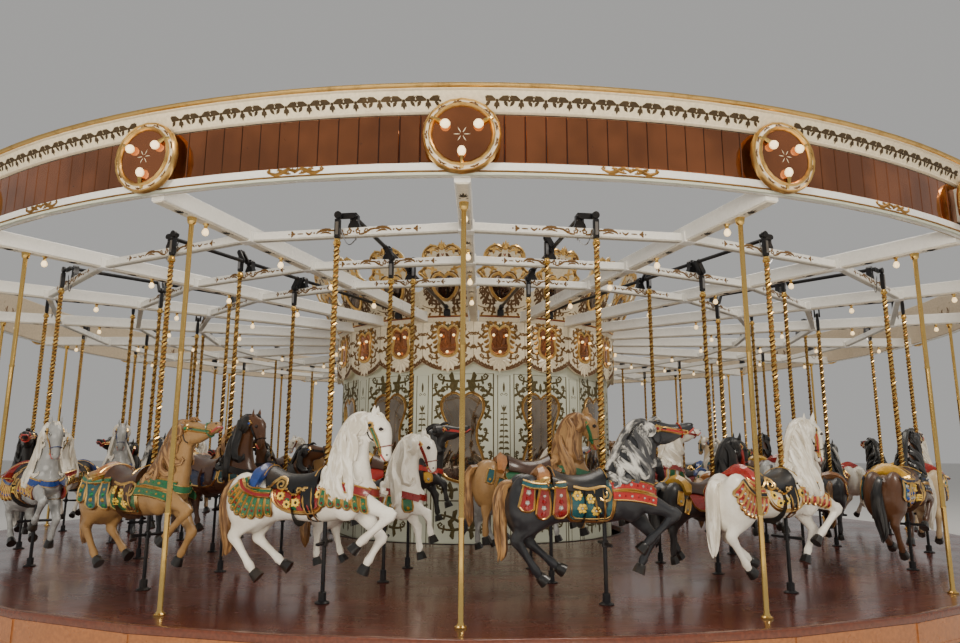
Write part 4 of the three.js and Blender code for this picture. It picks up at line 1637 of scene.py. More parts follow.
@dataclass
class Deck:
    """Deck boards with a varnished nosing, the skirt's facing and an iron ring at the inner edge; the sleeves
    at the poles are made with the poles.
    """

    top: float = 0.38
    outer: float = 7.56

    def build(self) -> None:
        """Dresses the deck's boards and adds the trim."""
        for k in range(1, 5):
            dress_node(f"deck_section_{k}", DECK_BOARDS)
        made = Piece("deck_trim", "platform", "varnished_boards")
        edge = self.outer
        nosing = [
            (edge - 0.05, 0.379), (edge - 0.012, 0.383), (edge + 0.006, 0.376), (edge + 0.01, 0.362),
            (edge + 0.008, 0.325), (edge - 0.006, 0.318), (edge - 0.05, 0.32)]
        skirt = [(edge - 0.004, 0.128), (edge + 0.004, 0.128), (edge + 0.004, 0.32), (edge - 0.004, 0.32)]
        low_edge = [(edge - 0.01, 0.121), (edge + 0.01, 0.121), (edge + 0.01, 0.145), (edge - 0.01, 0.148)]
        batten = block((-0.02, 0.02), (-edge - 0.01, -edge + 0.01), (0.145, 0.318), 0.003)
        inner = mm((2442, 379), (2470, 379), (2470, 388), (2442, 388))
        made.add(DECK_EDGE, lathe(nosing, 40, True))
        made.add(SKIRT, lathe(skirt, 40, True), lathe(low_edge, 40, True))
        made.add(SKIRT, batten.ringed(np.arange(40) * TAU / 40)).add(BLACK_IRON, lathe(inner, 40, True))
        made.build()


ROW_CIRCLES = (6.52, 5.473, 4.594)
ROW_SCALES = (1.0, 0.92, 0.84)
ROW_PHASES = (0.0, TAU / 3, 2 * TAU / 3)
ROW_NAMES = ("outer", "middle", "inner")
SHAFT_HEIGHT = 3.65
THROW = 0.125
WITHERS = 1.43


@dataclass(frozen=True)
class Seat:
    """Place of one horse's pole in its bay's frame."""

    rank: int
    row: int

    @property
    def side(self) -> int:
        """Which way the rank's cranks are thrown."""
        return 1 if self.rank % 2 else -1

    @property
    def x(self) -> float:
        """Pole's place along the ring."""
        return self.side * THROW * math.cos(ROW_PHASES[self.row])

    @property
    def lift(self) -> float:
        """Height of the horse over its middle height."""
        return self.side * THROW * math.sin(ROW_PHASES[self.row])

    @property
    def y(self) -> float:
        """Pole's place across the ring."""
        return -ROW_CIRCLES[self.row]

    @property
    def turn(self) -> float:
        """Angle of the rank."""
        return (self.rank - 0.5) * PITCH

    @property
    def body(self) -> str:
        """Body that the horse rides on."""
        return "platform" if self.row else ("odd_jumpers" if self.rank % 2 else "even_jumpers")

    @property
    def node(self) -> str:
        """CAD node that the horse and its pole stand for."""
        return f"crank_rank_{self.rank:02d}" if self.row else f"outer_horse_{self.rank:02d}"

    def set_down(self, shell: Shell, at_withers: bool = False) -> Shell:
        """Shell made round the pole's axis, put in its place on the ring.

        Args:
            shell: Shell to set down.
            at_withers: Whether it is a horse's, scaled and lifted.

        Returns:
            The shell in its place.
        """
        if at_withers:
            shell = shell.mapped(lambda p: p * ROW_SCALES[self.row]).moved(z=WITHERS + self.lift)
        return shell.moved(x=self.x, y=self.y).turned(self.turn)


@dataclass
class Poles:
    """Twisted brass poles with a plain iron rod below each horse, its footrest and its floor sleeve."""

    radius: float = 0.025
    twist: float = 0.0052
    lead: float = 0.092
    columns: tuple[int, int, int] = (8, 6, 6)
    pitch: Triple = (0.021, 0.03, 0.03)
    deck: float = 0.38

    def _rope(self, row: int, low: float, high: float) -> Shell:
        """Two-start twisted pole: radius + twist * cos(2a), where a turns with the height by the lead.

        Args:
            row: Row of the horse.
            low: Its lower end.
            high: Its upper end.

        Returns:
            The pole round the origin.
        """
        z = np.linspace(low, high, int((high - low) / self.pitch[row]))[:, None]
        column = (np.arange(self.columns[row]) * TAU / self.columns[row])[None, :]
        radius = self.radius + self.twist * np.cos(2 * column)
        angle = column + TAU * z / self.lead
        return grid(np.stack(np.broadcast_arrays(radius * np.cos(angle), radius * np.sin(angle), z), axis=2))

    def build_one(self, seat: Seat) -> None:
        """Makes the pole of one horse.

        Args:
            seat: The horse's place.
        """
        withers = WITHERS + seat.lift
        scale = ROW_SCALES[seat.row]
        head = SHAFT_HEIGHT + seat.lift
        belly = withers - 0.38 * scale
        foot = 0.215 if seat.row == 0 else self.deck + 0.002
        made = Piece(f"{ROW_NAMES[seat.row]}_pole_{seat.rank:02d}", seat.body, "painted_carving")
        top = head - 0.27
        made.add(TWIST, seat.set_down(self._rope(seat.row, withers - 0.12 * scale, top)))
        collar = lathe([
            (0.02, top - 0.01), (0.034, top - 0.005), (0.036, top + 0.02), (0.026, top + 0.03),
            (0.03, top + 0.045), (0.018, top + 0.05)], 8)
        made.add(BRASS, seat.set_down(collar))
        rod = lathe([(0.016, foot), (0.017, foot + 0.004), (0.017, belly), (0.016, belly + 0.01)], 7)
        made.add(BLACK_IRON, seat.set_down(rod))
        stem = lathe([(0.014, top + 0.03), (0.014, head - 0.03)], 6)
        eye = disc(mm((33, -17), (36, -12), (36, 12), (33, 17)), 10)
        fork = block((-0.024, 0.024), (-0.0195, 0.0195), (head - 0.215, head - 0.035), 0.008)
        made.add(BLACK_IRON, *[seat.set_down(s) for s in (stem, eye.moved(z=head), fork)])
        cheek = block((-0.014, 0.014), (-0.024, 0.024), (head - 0.185, head - 0.065), 0.004)
        made.add(STEEL, seat.set_down(cheek))
        step_height = belly - 0.2 * scale
        bar = tube(
            np.array(mm((0, -170, 0), (0, -150, 0), (0, 0, 0), (0, 150, 0), (0, 170, 0))) * scale,
            np.array([0.01, 0.016, 0.013, 0.016, 0.01]), 5, reference=(0, 0, 1))
        clamp = lathe(mm((17, -30), (27, -26), (27, 26), (17, 30)), 6)
        made.add(BLACK_IRON, *[seat.set_down(s.moved(z=step_height)) for s in (bar, clamp)])
        made.build(seat.node)

    def build_sleeves(self, seats: Sequence[Seat]) -> None:
        """Floor sleeves of all the poles, which stay on the deck.

        Args:
            seats: Places of all the horses.
        """
        made = Piece("pole_sleeves", "platform", "black_iron")
        low = self.deck + 0.0005
        sliding = lathe([
            (0.026, low), (0.062, low), (0.064, low + 0.008), (0.05, low + 0.014), (0.034, low + 0.02),
            (0.033, low + 0.085), (0.026, low + 0.088)], 8, True)
        fixed = lathe([
            (0.0185, low), (0.06, low), (0.062, low + 0.008), (0.046, low + 0.014), (0.03, low + 0.02),
            (0.029, low + 0.11), (0.0185, low + 0.113)], 8, True)
        for seat in seats:
            made.add(BLACK_IRON, seat.set_down(fixed if seat.row else sliding))
        made.build()


@dataclass
class Cranks:
    """Crankshafts over the cross-beams, with their webs, bearings, pins and safety chains."""

    radius: float = 0.021
    web: float = 0.044
    links: int = 16
    thick: float = 0.018
    bearing: float = 0.028
    end: float = 2.49

    def _web(self, seat: Seat, out: float) -> Shell:
        """Crank web from the shaft's axis to the pin: a plate with rounded ends.

        Args:
            seat: The horse's place.
            out: Radius of the web's outer face.

        Returns:
            The web in its bay's frame.
        """
        arc = np.linspace(-math.pi / 2, math.pi / 2, 6)
        r = self.web / 2 + 0.004
        far = np.column_stack([THROW + r * np.cos(arc), r * np.sin(arc)])
        near = np.column_stack([-r * np.cos(arc), -r * np.sin(arc)])
        arm = prism(np.concatenate([far, near]), -out - self.thick, -out)
        angle = math.atan2(seat.lift, seat.x)
        return arm.tilted(1, -angle).moved(z=SHAFT_HEIGHT)

    def _bar(self, x: float, z: float, near: float, far: float, radius: float) -> Shell:
        """Round bar along the rank.

        Args:
            x: Place across the rank.
            z: Height.
            near: Lower end along the rank.
            far: Upper end along the rank.
            radius: Its radius.

        Returns:
            The closed bar.
        """
        rim = radius - 0.003
        profile = [(rim, near), (radius, near + 0.003), (radius, far - 0.003), (rim, far)]
        return disc(profile, 8).moved(x=x, z=z)

    def _chain(self, x: float, z: float, out: float, hand: float) -> Shell:
        """Loop of safety chain: a hanging arc whose radius swells at each link.

        Args:
            x: Upper end.
            z: Upper end.
            out: Radius at which it hangs.
            hand: Side to which it hangs.

        Returns:
            The chain.
        """
        t = np.linspace(0, 1, self.links)
        path = np.column_stack([
            x + hand * 0.16 * t, np.full(self.links, -out), z - 0.16 * t - 0.12 * np.sin(math.pi * t)])
        swell = 0.0042 + 0.003 * (np.arange(self.links) % 2)
        return tube(path, swell, 3)

    def build_rank(self, rank: int) -> None:
        """Makes one rank's crankshaft.

        Args:
            rank: Number of the rank.
        """
        made = Piece(f"crankshaft_{rank:02d}", "platform", "black_iron")
        seats = [Seat(rank, row) for row in (2, 1, 0)]
        edges = [self.end]
        shells, bright = [], []
        half = [(0.055, 3.5505), (0.05, 3.575), (0.036, 3.6), (0.036, 3.668), (0.02, 3.688)]
        section = np.array(half + [(-x, z) for x, z in reversed(half)])
        for seat in seats:
            pole = ROW_CIRCLES[seat.row]
            if seat.row:
                shells += [self._web(seat, pole - 0.04), self._web(seat, pole + 0.022)]
                bright.append(self._bar(seat.x, SHAFT_HEIGHT + seat.lift, pole - 0.024, pole + 0.024, 0.017))
                edges += [pole - 0.03, pole + 0.03]
            else:
                shells.append(self._web(seat, pole - 0.045))
                edges.append(pole - 0.03)
            middle = pole - 0.09
            back, front = -middle - self.bearing, -middle + self.bearing
            shells.append(prism(section, back, front))
            bright += [stud(x, z, 0.008).moved(y=back) for x in (-0.026, 0.026) for z in (3.615, 3.662)]
            hand = -1 if seat.side > 0 else 1
            if seat.row == 0:
                chain = self._chain(seat.x - hand * 0.01, 3.6, pole - 0.058, hand)
                hook = (seat.x + hand * 0.15, -pole + 0.062, 3.44)
                bright += [chain, ball(hook, (0.012, 0.008, 0.014), 5, 3)]
        for near, far in zip(edges[::2], edges[1::2]):
            shells.append(self._bar(0.0, SHAFT_HEIGHT, near, far, self.radius))
        pinion = disc(mm((30, 2492), (34, 2494), (34, 2560), (30, 2562)), 12).moved(z=SHAFT_HEIGHT)
        end_block = block((-0.045, 0.045), (-2.475, -2.4), (3.53, 3.63), 0.01)
        shells += [pinion, end_block]
        made.add(BLACK_IRON, join(shells).turned(seats[0].turn))
        made.add(STEEL, join(bright).turned(seats[0].turn))
        made.build(f"crank_rank_{rank:02d}")


class Pose(Enum):
    """How a horse carries its neck and head."""

    PROUD = "proud"
    REACHING = "reaching"


class Legs(Enum):
    """How a horse's legs are carved."""

    BENT = "bent"
    STRETCHED = "stretched"


class Tack(Enum):
    """What a horse wears on its sides."""

    FAN = "fan"
    FLAPS = "flaps"
    PLAIN = "plain"


class Role(Enum):
    """Parts of a horse that have a finish each."""

    COAT = "coat"
    MANE = "mane"
    TAIL = "tail"
    STRAP = "strap"
    TABS = "tabs"
    BLANKET = "blanket"
    SADDLE = "saddle"
    ROLL = "roll"
    GEM = "gem"
    STONE = "stone"
    GOLD = "gold"
    FLOWER = "flower"
    DARK = "dark"
    EYE = "eye"
    MOUTH = "mouth"


@dataclass(frozen=True)
class HeadCarving:
    """Sizes of one pose's neck and head: stations of (x, z, half width, half depth) from the withers."""

    neck: Points
    head: Points
    crest: Points
    tips: Points
    eye: Triple
    jaw: Pair
    nostril: Triple
    bit: Pair
    temple: Pair
    throat: Points
    ear: Pair
    ear_lean: float


HEADS = {
    Pose.PROUD: HeadCarving(
        neck=mm(
            (170, -200, 150, 235), (185, -40, 122, 200), (200, 100, 94, 160), (220, 220, 78, 138),
            (255, 330, 68, 118), (315, 395, 60, 85)),
        head=mm(
            (285, 405, 52, 66), (365, 385, 66, 92), (435, 332, 70, 104), (467, 262, 58, 86),
            (484, 190, 45, 62), (493, 135, 43, 55), (498, 100, 40, 47), (499, 74, 26, 30)),
        crest=mm((325, 452), (262, 450), (195, 415), (138, 335), (95, 240), (60, 140), (35, 30)),
        tips=mm(
            (300, 310), (262, 200), (245, 60), (282, -175), (230, -205), (155, -205), (85, -175), (20, -135)),
        eye=(0.474, 0.33, 0.062), jaw=(0.398, 0.292), nostril=(0.523, 0.122, 0.032), bit=(0.455, 0.128),
        temple=(0.378, 0.364), throat=mm((345, 340), (352, 295), (375, 255), (410, 238)), ear=(0.395, 0.45),
        ear_lean=-0.02),
    Pose.REACHING: HeadCarving(
        neck=mm(
            (200, -200, 150, 235), (245, -60, 120, 205), (285, 60, 94, 180), (325, 170, 78, 152),
            (365, 265, 68, 120), (415, 325, 58, 84)),
        head=mm(
            (365, 340, 52, 68), (450, 326, 65, 94), (535, 310, 66, 96), (615, 318, 53, 74),
            (685, 338, 43, 56), (740, 355, 42, 52), (780, 365, 38, 43), (806, 372, 24, 28)),
        crest=mm((385, 405), (310, 405), (240, 360), (180, 275), (130, 180), (85, 85), (35, 0)),
        tips=mm((390, 300), (350, 205), (395, 85), (370, -20), (290, -60), (180, -80), (80, -110)),
        eye=(0.522, 0.348, 0.061), jaw=(0.465, 0.262), nostril=(0.792, 0.385, 0.029), bit=(0.738, 0.315),
        temple=(0.462, 0.35), throat=mm((425, 335), (420, 290), (440, 240), (475, 225)), ear=(0.4, 0.405),
        ear_lean=0.34)}

LEG_POINTS = {
    Legs.BENT: (
        (-1, True, (-0.6, -0.3), (-0.755, -0.535), (-0.575, -0.8)),
        (1, True, (-0.58, -0.3), (-0.625, -0.56), (-0.395, -0.755)),
        (-1, False, (0.2, -0.2), (0.585, -0.345), (0.32, -0.575)),
        (1, False, (0.18, -0.22), (0.455, -0.545), (0.335, -0.75)),
    ),
    Legs.STRETCHED: (
        (-1, True, (-0.6, -0.3), (-0.695, -0.52), (-0.7, -0.78)),
        (1, True, (-0.58, -0.3), (-0.56, -0.53), (-0.49, -0.77)),
        (-1, False, (0.2, -0.2), (0.475, -0.33), (0.52, -0.54)),
        (1, False, (0.18, -0.22), (0.33, -0.48), (0.365, -0.72)),
    ),
}

# Share of the way down, half width and half depth
HIND_UPPER = ((0.0, 0.08, 0.165), (0.3, 0.078, 0.142), (0.62, 0.06, 0.094), (0.86, 0.044, 0.056))
FORE_UPPER = ((0.0, 0.07, 0.115), (0.3, 0.068, 0.096), (0.62, 0.052, 0.068), (0.86, 0.04, 0.047))
LOWER_LEG = (
    (0.0, 0.043, 0.054), (0.16, 0.036, 0.042), (0.45, 0.029, 0.032), (0.72, 0.03, 0.033),
    (0.86, 0.036, 0.041), (0.96, 0.03, 0.032), (1.04, 0.031, 0.035))

BLANKETS = {
    Tack.FAN: mm(
        (-405, -80), (-400, -200), (-350, -285), (-260, -330), (-150, -345), (-30, -335), (30, -285),
        (60, -190), (52, -80), (10, -25), (-100, -50), (-280, -80)),
    Tack.FLAPS: mm(
        (-335, -80), (-340, -250), (-330, -375), (-200, -395), (-60, -395), (20, -375), (35, -250),
        (40, -100), (5, -30), (-100, -60), (-220, -80)),
    Tack.PLAIN: mm(
        (-500, -90), (-490, -240), (-360, -325), (-100, -335), (20, -250), (30, -100), (-20, -40),
        (-250, -80))}

TRUNK = np.array(mm(
    (-835, -230, -330, 50), (-810, -160, -420, 110), (-750, -100, -500, 158), (-680, -62, -525, 180),
    (-600, -52, -510, 186), (-500, -70, -455, 178), (-400, -95, -415, 168), (-250, -112, -410, 172),
    (-100, -95, -420, 176), (50, -40, -412, 172), (180, 0, -385, 158), (300, -20, -345, 136),
    (375, -70, -300, 105), (420, -120, -235, 55)))


def limb(stations: Points, rows: int, sides: int = 12, y: Size = 0.0) -> Shell:
    """Smooth limb in the horse's own plane.

    The path and its half width and half depth run smoothly through the stations. A section's point is
    the path's point plus the half depth times the cosine across the path, and the half width times the
    sine to the side.

    Args:
        stations: (x, z, half width, half depth).
        rows: Sections along the limb.
        sides: Faces round it.
        y: Place of the path to the side, one for all or one for each station.

    Returns:
        The closed shell.
    """
    table = np.array(stations, float)
    table = np.column_stack([table, np.broadcast_to(y, len(table))])
    p = smooth_path(table, rows)
    tangent = np.gradient(p[:, :2], axis=0)
    tangent /= np.linalg.norm(tangent, axis=1, keepdims=True)
    angle = np.arange(sides) * TAU / sides
    deep = np.maximum(p[:, 3:4], 0.004) * np.cos(angle)
    wide = np.maximum(p[:, 2:3], 0.004) * np.sin(angle)
    return grid(np.stack([
        p[:, :1] + tangent[:, 1:] * deep, p[:, 4:5] + wide, p[:, 1:2] - tangent[:, :1] * deep], axis=2))


def flank(x: Array, angle: Array, out: Size = 0.0) -> Array:
    """Points on the trunk.

    Args:
        x: Place along the trunk.
        angle: Angle round it from the top, positive towards the outer side.
        out: Distance that the points stand off.

    Returns:
        Points: half width times the sine outwards, and half height times the cosine up.
    """
    dense = smooth_path(TRUNK, 120)
    top, bottom, half = (np.interp(x, dense[:, 0], dense[:, k]) for k in (1, 2, 3))
    middle, rise = (top + bottom) / 2, (top - bottom) / 2
    return np.stack([x, -(half + out) * np.sin(angle), middle + (rise + out) * np.cos(angle)], axis=-1)


def plate(outline: Array, rings: int = 2) -> Shell:
    """Flat cloth or leather with an outline of (x, z) points: rings that grow from its middle, and an edge.

    Args:
        outline: Its outline.
        rings: Rings from the middle to the outline.

    Returns:
        The shell, with its edge turned in towards the body.
    """
    middle = outline.mean(0)
    rows = [(middle + (outline - middle) * share, 0.0) for share in np.linspace(1 / (rings + 1), 1.0, rings)]
    return grid(np.stack([upright(o, y) for o, y in [*rows, (outline, 0.014)]]))


def tongue(root: Array, tip: Array, width: float, shares: Sequence[float]) -> Array:
    """Outline of a hanging tongue: its sides widen from the root and close in a round end.

    The half width is width / 2 * (0.72 + 0.28 t) * sqrt(1 - (over / 0.2)^2), where over is t past 0.8.

    Args:
        root: (x, z) of its root.
        tip: (x, z) of its tip.
        width: Its width.
        shares: Places along it that have points.

    Returns:
        The outline.
    """
    across = np.array([root[1] - tip[1], tip[0] - root[0]]) / np.linalg.norm(tip - root)
    t = np.array(shares)[:, None]
    half = width / 2 * (0.72 + 0.28 * t) * np.sqrt(1 - (np.maximum(t - 0.8, 0) / 0.2) ** 2)
    middle = root + (tip - root) * t
    return np.concatenate([middle + across * half, [tip], (middle - across * half)[::-1]])


def rosette(x: float, z: float, radius: float, petals: int, height: float = 0.01) -> Shell:
    """Round flower whose radius swings by 0.15 of itself from petal to gap.

    Args:
        x: Centre.
        z: Centre.
        radius: Mean radius.
        petals: Petals.
        height: Height.

    Returns:
        The flower.
    """
    angle = np.arange(2 * petals) * math.pi / petals
    edge = radius * (1 + 0.15 * np.cos(petals * angle))
    rows = [(0.35 * edge, 0.7 * height), (0.85 * edge, height), (edge, -0.006)]
    return grid(np.stack([
        upright(np.column_stack([x + r * np.cos(angle), z + r * np.sin(angle)]), -y) for r, y in rows]))


class Hide:
    """Outer side of a carved body, found by level rays, on which hair and tack are laid."""

    def __init__(self, skin: Shell) -> None:
        """Keeps the body's faces in a search tree.

        Args:
            skin: The carved body, and what it already wears.
        """
        ends = np.cumsum(skin.counts)
        faces = [skin.corners[end - size:end].tolist() for end, size in zip(ends, skin.counts)]
        self.tree = BVHTree.FromPolygons(skin.points.tolist(), faces)

    def lay(self, flat: Array, out: Size) -> Array:
        """Points of the body's outer side at (x, z) places, or its nearest points beside it.

        Args:
            flat: Places as rows of (x, z).
            out: Distance outwards from the body.

        Returns:
            The points.
        """
        found = []
        for x, z in flat.tolist():
            hit = self.tree.ray_cast(
                (x, -1.0, z), (0.0, 1.0, 0.0))[0] or self.tree.find_nearest((x, -0.06, z))[0]
            found.append(tuple(hit))
        points = np.array(found)
        points[:, 1] -= out
        return points

    def wrap(self, shell: Shell, out: float) -> Shell:
        """A flat ornament laid on the body, at a distance from it.

        Args:
            shell: Ornament as drawn in the side view.
            out: Distance from the body.

        Returns:
            The ornament on the body.
        """

        def press(p: Array) -> Array:
            """Points moved to the body, with their own height over the board kept.

            Args:
                p: Points as rows of (x, y, z).

            Returns:
                The points on the body.
            """
            laid = self.lay(p[:, [0, 2]], out)
            laid[:, 1] += p[:, 1]
            return laid

        return shell.mapped(press)


@dataclass
class Pattern:
    """One pattern of horse, carved once and then set on many seats in different liveries."""

    pose: Pose
    legs: Legs
    tack: Tack
    voxel: float
    keep: int
    seed: int = 1
    parts: list[tuple[Role, Shell]] = field(default_factory=list)

    @property
    def carving(self) -> HeadCarving:
        """Sizes of the neck and head."""
        return HEADS[self.pose]

    @property
    def rich(self) -> bool:
        """Whether the horse has the outer row's finer carving."""
        return self.tack is not Tack.PLAIN

    def carve(self) -> "Pattern":
        """Makes the whole horse round its withers, from the body outwards."""
        skin = self._skin()
        self.hide = Hide(skin)
        self._add(Role.COAT, skin)
        for step in (self._face, self._tail, self._hooves, self._cover, self._saddle):
            step()
        self.hide = Hide(join([
            shell for role, shell in self.parts
            if role in (Role.COAT, Role.BLANKET, Role.SADDLE, Role.ROLL)]))
        for step in (self._bridle, self._breast, self._sides):
            step()
        self.hide = Hide(skin)
        self._mane()
        return self

    def _pick(self, many: int, few: int) -> int:
        """A count of faces for the outer row's horses, or a smaller one for the others."""
        return many if self.rich else few

    def _add(self, role: Role, *shells: Shell) -> None:
        """Adds shells as they are."""
        self.parts += [(role, shell) for shell in shells]

    def _pair(self, role: Role, *shells: Shell) -> None:
        """Adds shells of the outer side, and their mirror images on the inner side."""
        one = join(list(shells))
        self._add(role, one, one.scaled(1, -1, 1))

    def _wrapped(self, role: Role, shells: Sequence[Shell], out: float) -> None:
        """Adds flat ornament laid on both sides of the body."""
        self._pair(role, self.hide.wrap(join(list(shells)), out))

    def _forms(self) -> list[Shell]:
        """Overlapping closed forms of trunk, muscles, neck, head and legs."""
        c = self.carving
        x = np.linspace(-0.833, 0.419, 34)[:, None]
        angle = (np.arange(28) * TAU / 28)[None, :]
        parts = [grid(flank(*np.broadcast_arrays(x, angle))), limb(c.neck, 16, 18), limb(c.head, 18, 14)]
        parts.append(ball((c.jaw[0], 0, c.jaw[1]), (0.062, 0.06, 0.064), 14, 9))
        for side in (-1, 1):
            parts.append(ball((-0.665, side * 0.095, -0.255), (0.16, 0.105, 0.235), 16, 12))
            parts.append(ball((0.2, side * 0.075, -0.2), (0.145, 0.1, 0.205), 16, 12))
            parts.append(ball(
                (c.eye[0], side * (c.eye[2] - 0.014), c.eye[1] + 0.008), (0.036, 0.02, 0.028), 10, 7))
            parts.append(ball(
                (c.nostril[0] - 0.012, side * (c.nostril[2] - 0.01), c.nostril[1]), (0.026, 0.016, 0.022), 10,
                7))
        return parts + [self._leg(*points) for points in LEG_POINTS[self.legs]]

    @staticmethod
    def _leg(side: int, hind: bool, root: Pair, joint: Pair, hoof: Pair) -> Shell:
        """One leg from its root through the hock or knee to the hoof, with swells at its joints.

        Args:
            side: -1 for the outer side, 1 for the inner side.
            hind: Whether it is a hind leg.
            root: (x, z) in the body.
            joint: (x, z) of the hock or knee.
            hoof: (x, z) of the hoof's top.

        Returns:
            The shell.
        """
        a, b, c = np.array(root), np.array(joint), np.array(hoof)
        stations = [(*(a + (b - a) * t), w, d) for t, w, d in (HIND_UPPER if hind else FORE_UPPER)]
        stations += [(*(b + (c - b) * t), w, d) for t, w, d in LOWER_LEG]
        away = side * np.interp(np.arange(len(stations)), [0, 3, 10], [0.095, 0.088, 0.08])
        return limb(stations, 26, 12, away)

    def _skin(self) -> Shell:
        """Joins the forms by voxels, smooths them and thins them to the wanted number of faces."""
        whole = join(self._forms())
        mesh = bpy.data.meshes.new("uncut_block")
        starts = np.cumsum(whole.counts) - whole.counts
        mesh.from_pydata(whole.points.tolist(), [], [
            whole.corners[s:s + n].tolist() for s, n in zip(starts, whole.counts)])
        uncut = bpy.data.objects.new("uncut_block", mesh)
        bpy.context.scene.collection.objects.link(uncut)
        remesh = uncut.modifiers.new("join", "REMESH")
        remesh.mode = "VOXEL"
        remesh.voxel_size = self.voxel
        smooth = uncut.modifiers.new("sand", "SMOOTH")
        smooth.factor = 0.5
        smooth.iterations = 5
        seen = uncut.evaluated_get(bpy.context.evaluated_depsgraph_get())
        thin = uncut.modifiers.new("thin", "DECIMATE")
        thin.ratio = min(1.0, self.keep / (len(seen.data.polygons) * 2))
        seen = uncut.evaluated_get(bpy.context.evaluated_depsgraph_get())
        cut = seen.to_mesh()
        read = []
        for items, key, size, kind in (
                (cut.vertices, "co", 3, np.float32), (cut.loops, "vertex_index", 1, np.int32),
                (cut.polygons, "loop_total", 1, np.int32)):
            read.append(np.empty(len(items) * size, kind))
            items.foreach_get(key, read[-1])
        points, corners, counts = read
        seen.to_mesh_clear()
        bpy.data.objects.remove(uncut)
        bpy.data.meshes.remove(mesh)
        log.info("carved %s %s: %d faces", self.pose.value, self.legs.value, len(counts))
        return Shell(
            points.reshape(-1, 3).astype(float), corners, counts, np.zeros((len(corners), 2))).outward()

    def _face(self) -> None:
        """Eyes under carved lids, nostrils, ears and the gums of the open mouth."""
        c = self.carving
        ex, ez, ey = c.eye
        nx, nz, ny = c.nostril
        self._pair(Role.EYE, ball(
            (ex, -ey - 0.003, ez), (0.026, 0.013, 0.02), self._pick(8, 6), self._pick(5, 3)))
        if self.rich:
            lids = [
                smooth_path([
                    (ex - 0.031, -ey - 0.002, ez), (ex - 0.004, -ey - 0.011, ez + rise),
                    (ex + 0.028, -ey, ez + 0.002)], 6) for rise in (0.024, -0.02)]
            self._pair(Role.COAT, *[tube(lid, 0.0065, 4) for lid in lids])
            cheek = mm((15, 45), (30, 12), (22, -30), (-6, -52))
            bone = smooth_path([(c.jaw[0] + dx, c.jaw[1] + dz) for dx, dz in cheek], 7)
            self._pair(Role.COAT, tube(
                self.hide.lay(bone, 0.0), np.array([0.003, 0.008, 0.01, 0.011, 0.01, 0.007, 0.003]), 4))
        self._pair(Role.DARK, ball((nx - 0.004, -ny - 0.005, nz + 0.002), (0.013, 0.006, 0.009), 5, 2))
        base = np.array([c.ear[0], -0.036, c.ear[1] - 0.012])
        tip = base + np.array([
            -math.sin(c.ear_lean * TAU) * 0.092, -0.012, math.cos(c.ear_lean * TAU) * 0.092])
        path = smooth_path([base, (base + tip) / 2 + np.array([0, -0.006, 0]), tip], 5)
        self._pair(Role.COAT, tube(
            path, np.array([0.018, 0.024, 0.02, 0.012, 0.002]), self._pick(6, 4), 0.6, (0.2, 1.0, 0.1)))
        head = np.array(c.head)
        front = np.array([
            head[7, 0] - 0.004, 0.0, head[7, 1] + (0.012 if self.pose is Pose.PROUD else -0.018)])
        corners = [np.array([c.bit[0] + 0.012, side * 0.043, c.bit[1]]) for side in (-1, 1)]
        lips = [
            corners[0], front + np.array([0, -0.03, 0]), front + np.array([0.004, 0, 0]),
            front + np.array([0, 0.03, 0]), corners[1]]
        self._add(Role.MOUTH, tube(smooth_path(lips, self._pick(9, 5)), 0.009, 4, reference=(0.1, 0.05, 1.0)))

    def _lock(self, root: Array, tip: Array, sway: float, width: float) -> Shell:
        """Thick lock of hair laid on the neck, with a hooked end.

        Its line is root + (tip - root) * s + normal * sway * sin(2 pi s). Its width swells and then
        tapers to the hook.

        Args:
            root: (x, z) at the crest.
            tip: (x, z) of its end.
            sway: Sideways swing.
            width: Half width where it is fullest.

        Returns:
            The shell.
        """
        s = np.linspace(0, 1, self._pick(8, 6))[:, None]
        chord = tip - root
        normal = np.array([-chord[1], chord[0]]) / np.linalg.norm(chord)
        flat = root + chord * s + normal * sway * np.sin(TAU * s)
        heading = math.atan2(*(flat[-1] - flat[-2])[::-1])
        turn = heading + (1.0 if sway >= 0 else -1.0) * np.array([0.7, 1.7, 2.8])
        hook = flat[-1] + np.cumsum(0.62 * width * np.column_stack([np.cos(turn), np.sin(turn)]), axis=0)
        flat = np.concatenate([flat, hook])
        t = np.linspace(0, 1, len(flat))
        path = self.hide.lay(flat, 0.006 + 0.018 * np.sin(math.pi * np.minimum(1.2 * t, 1.0)))
        radius = width * (0.34 + 0.66 * np.sin(math.pi * (0.14 + 0.76 * t)) ** 0.8) * (1 - 0.6 * t**3)
        return tube(path, radius, self._pick(6, 4), 0.6, (0.03, 1.0, 0.05), roll=-math.pi / 2)

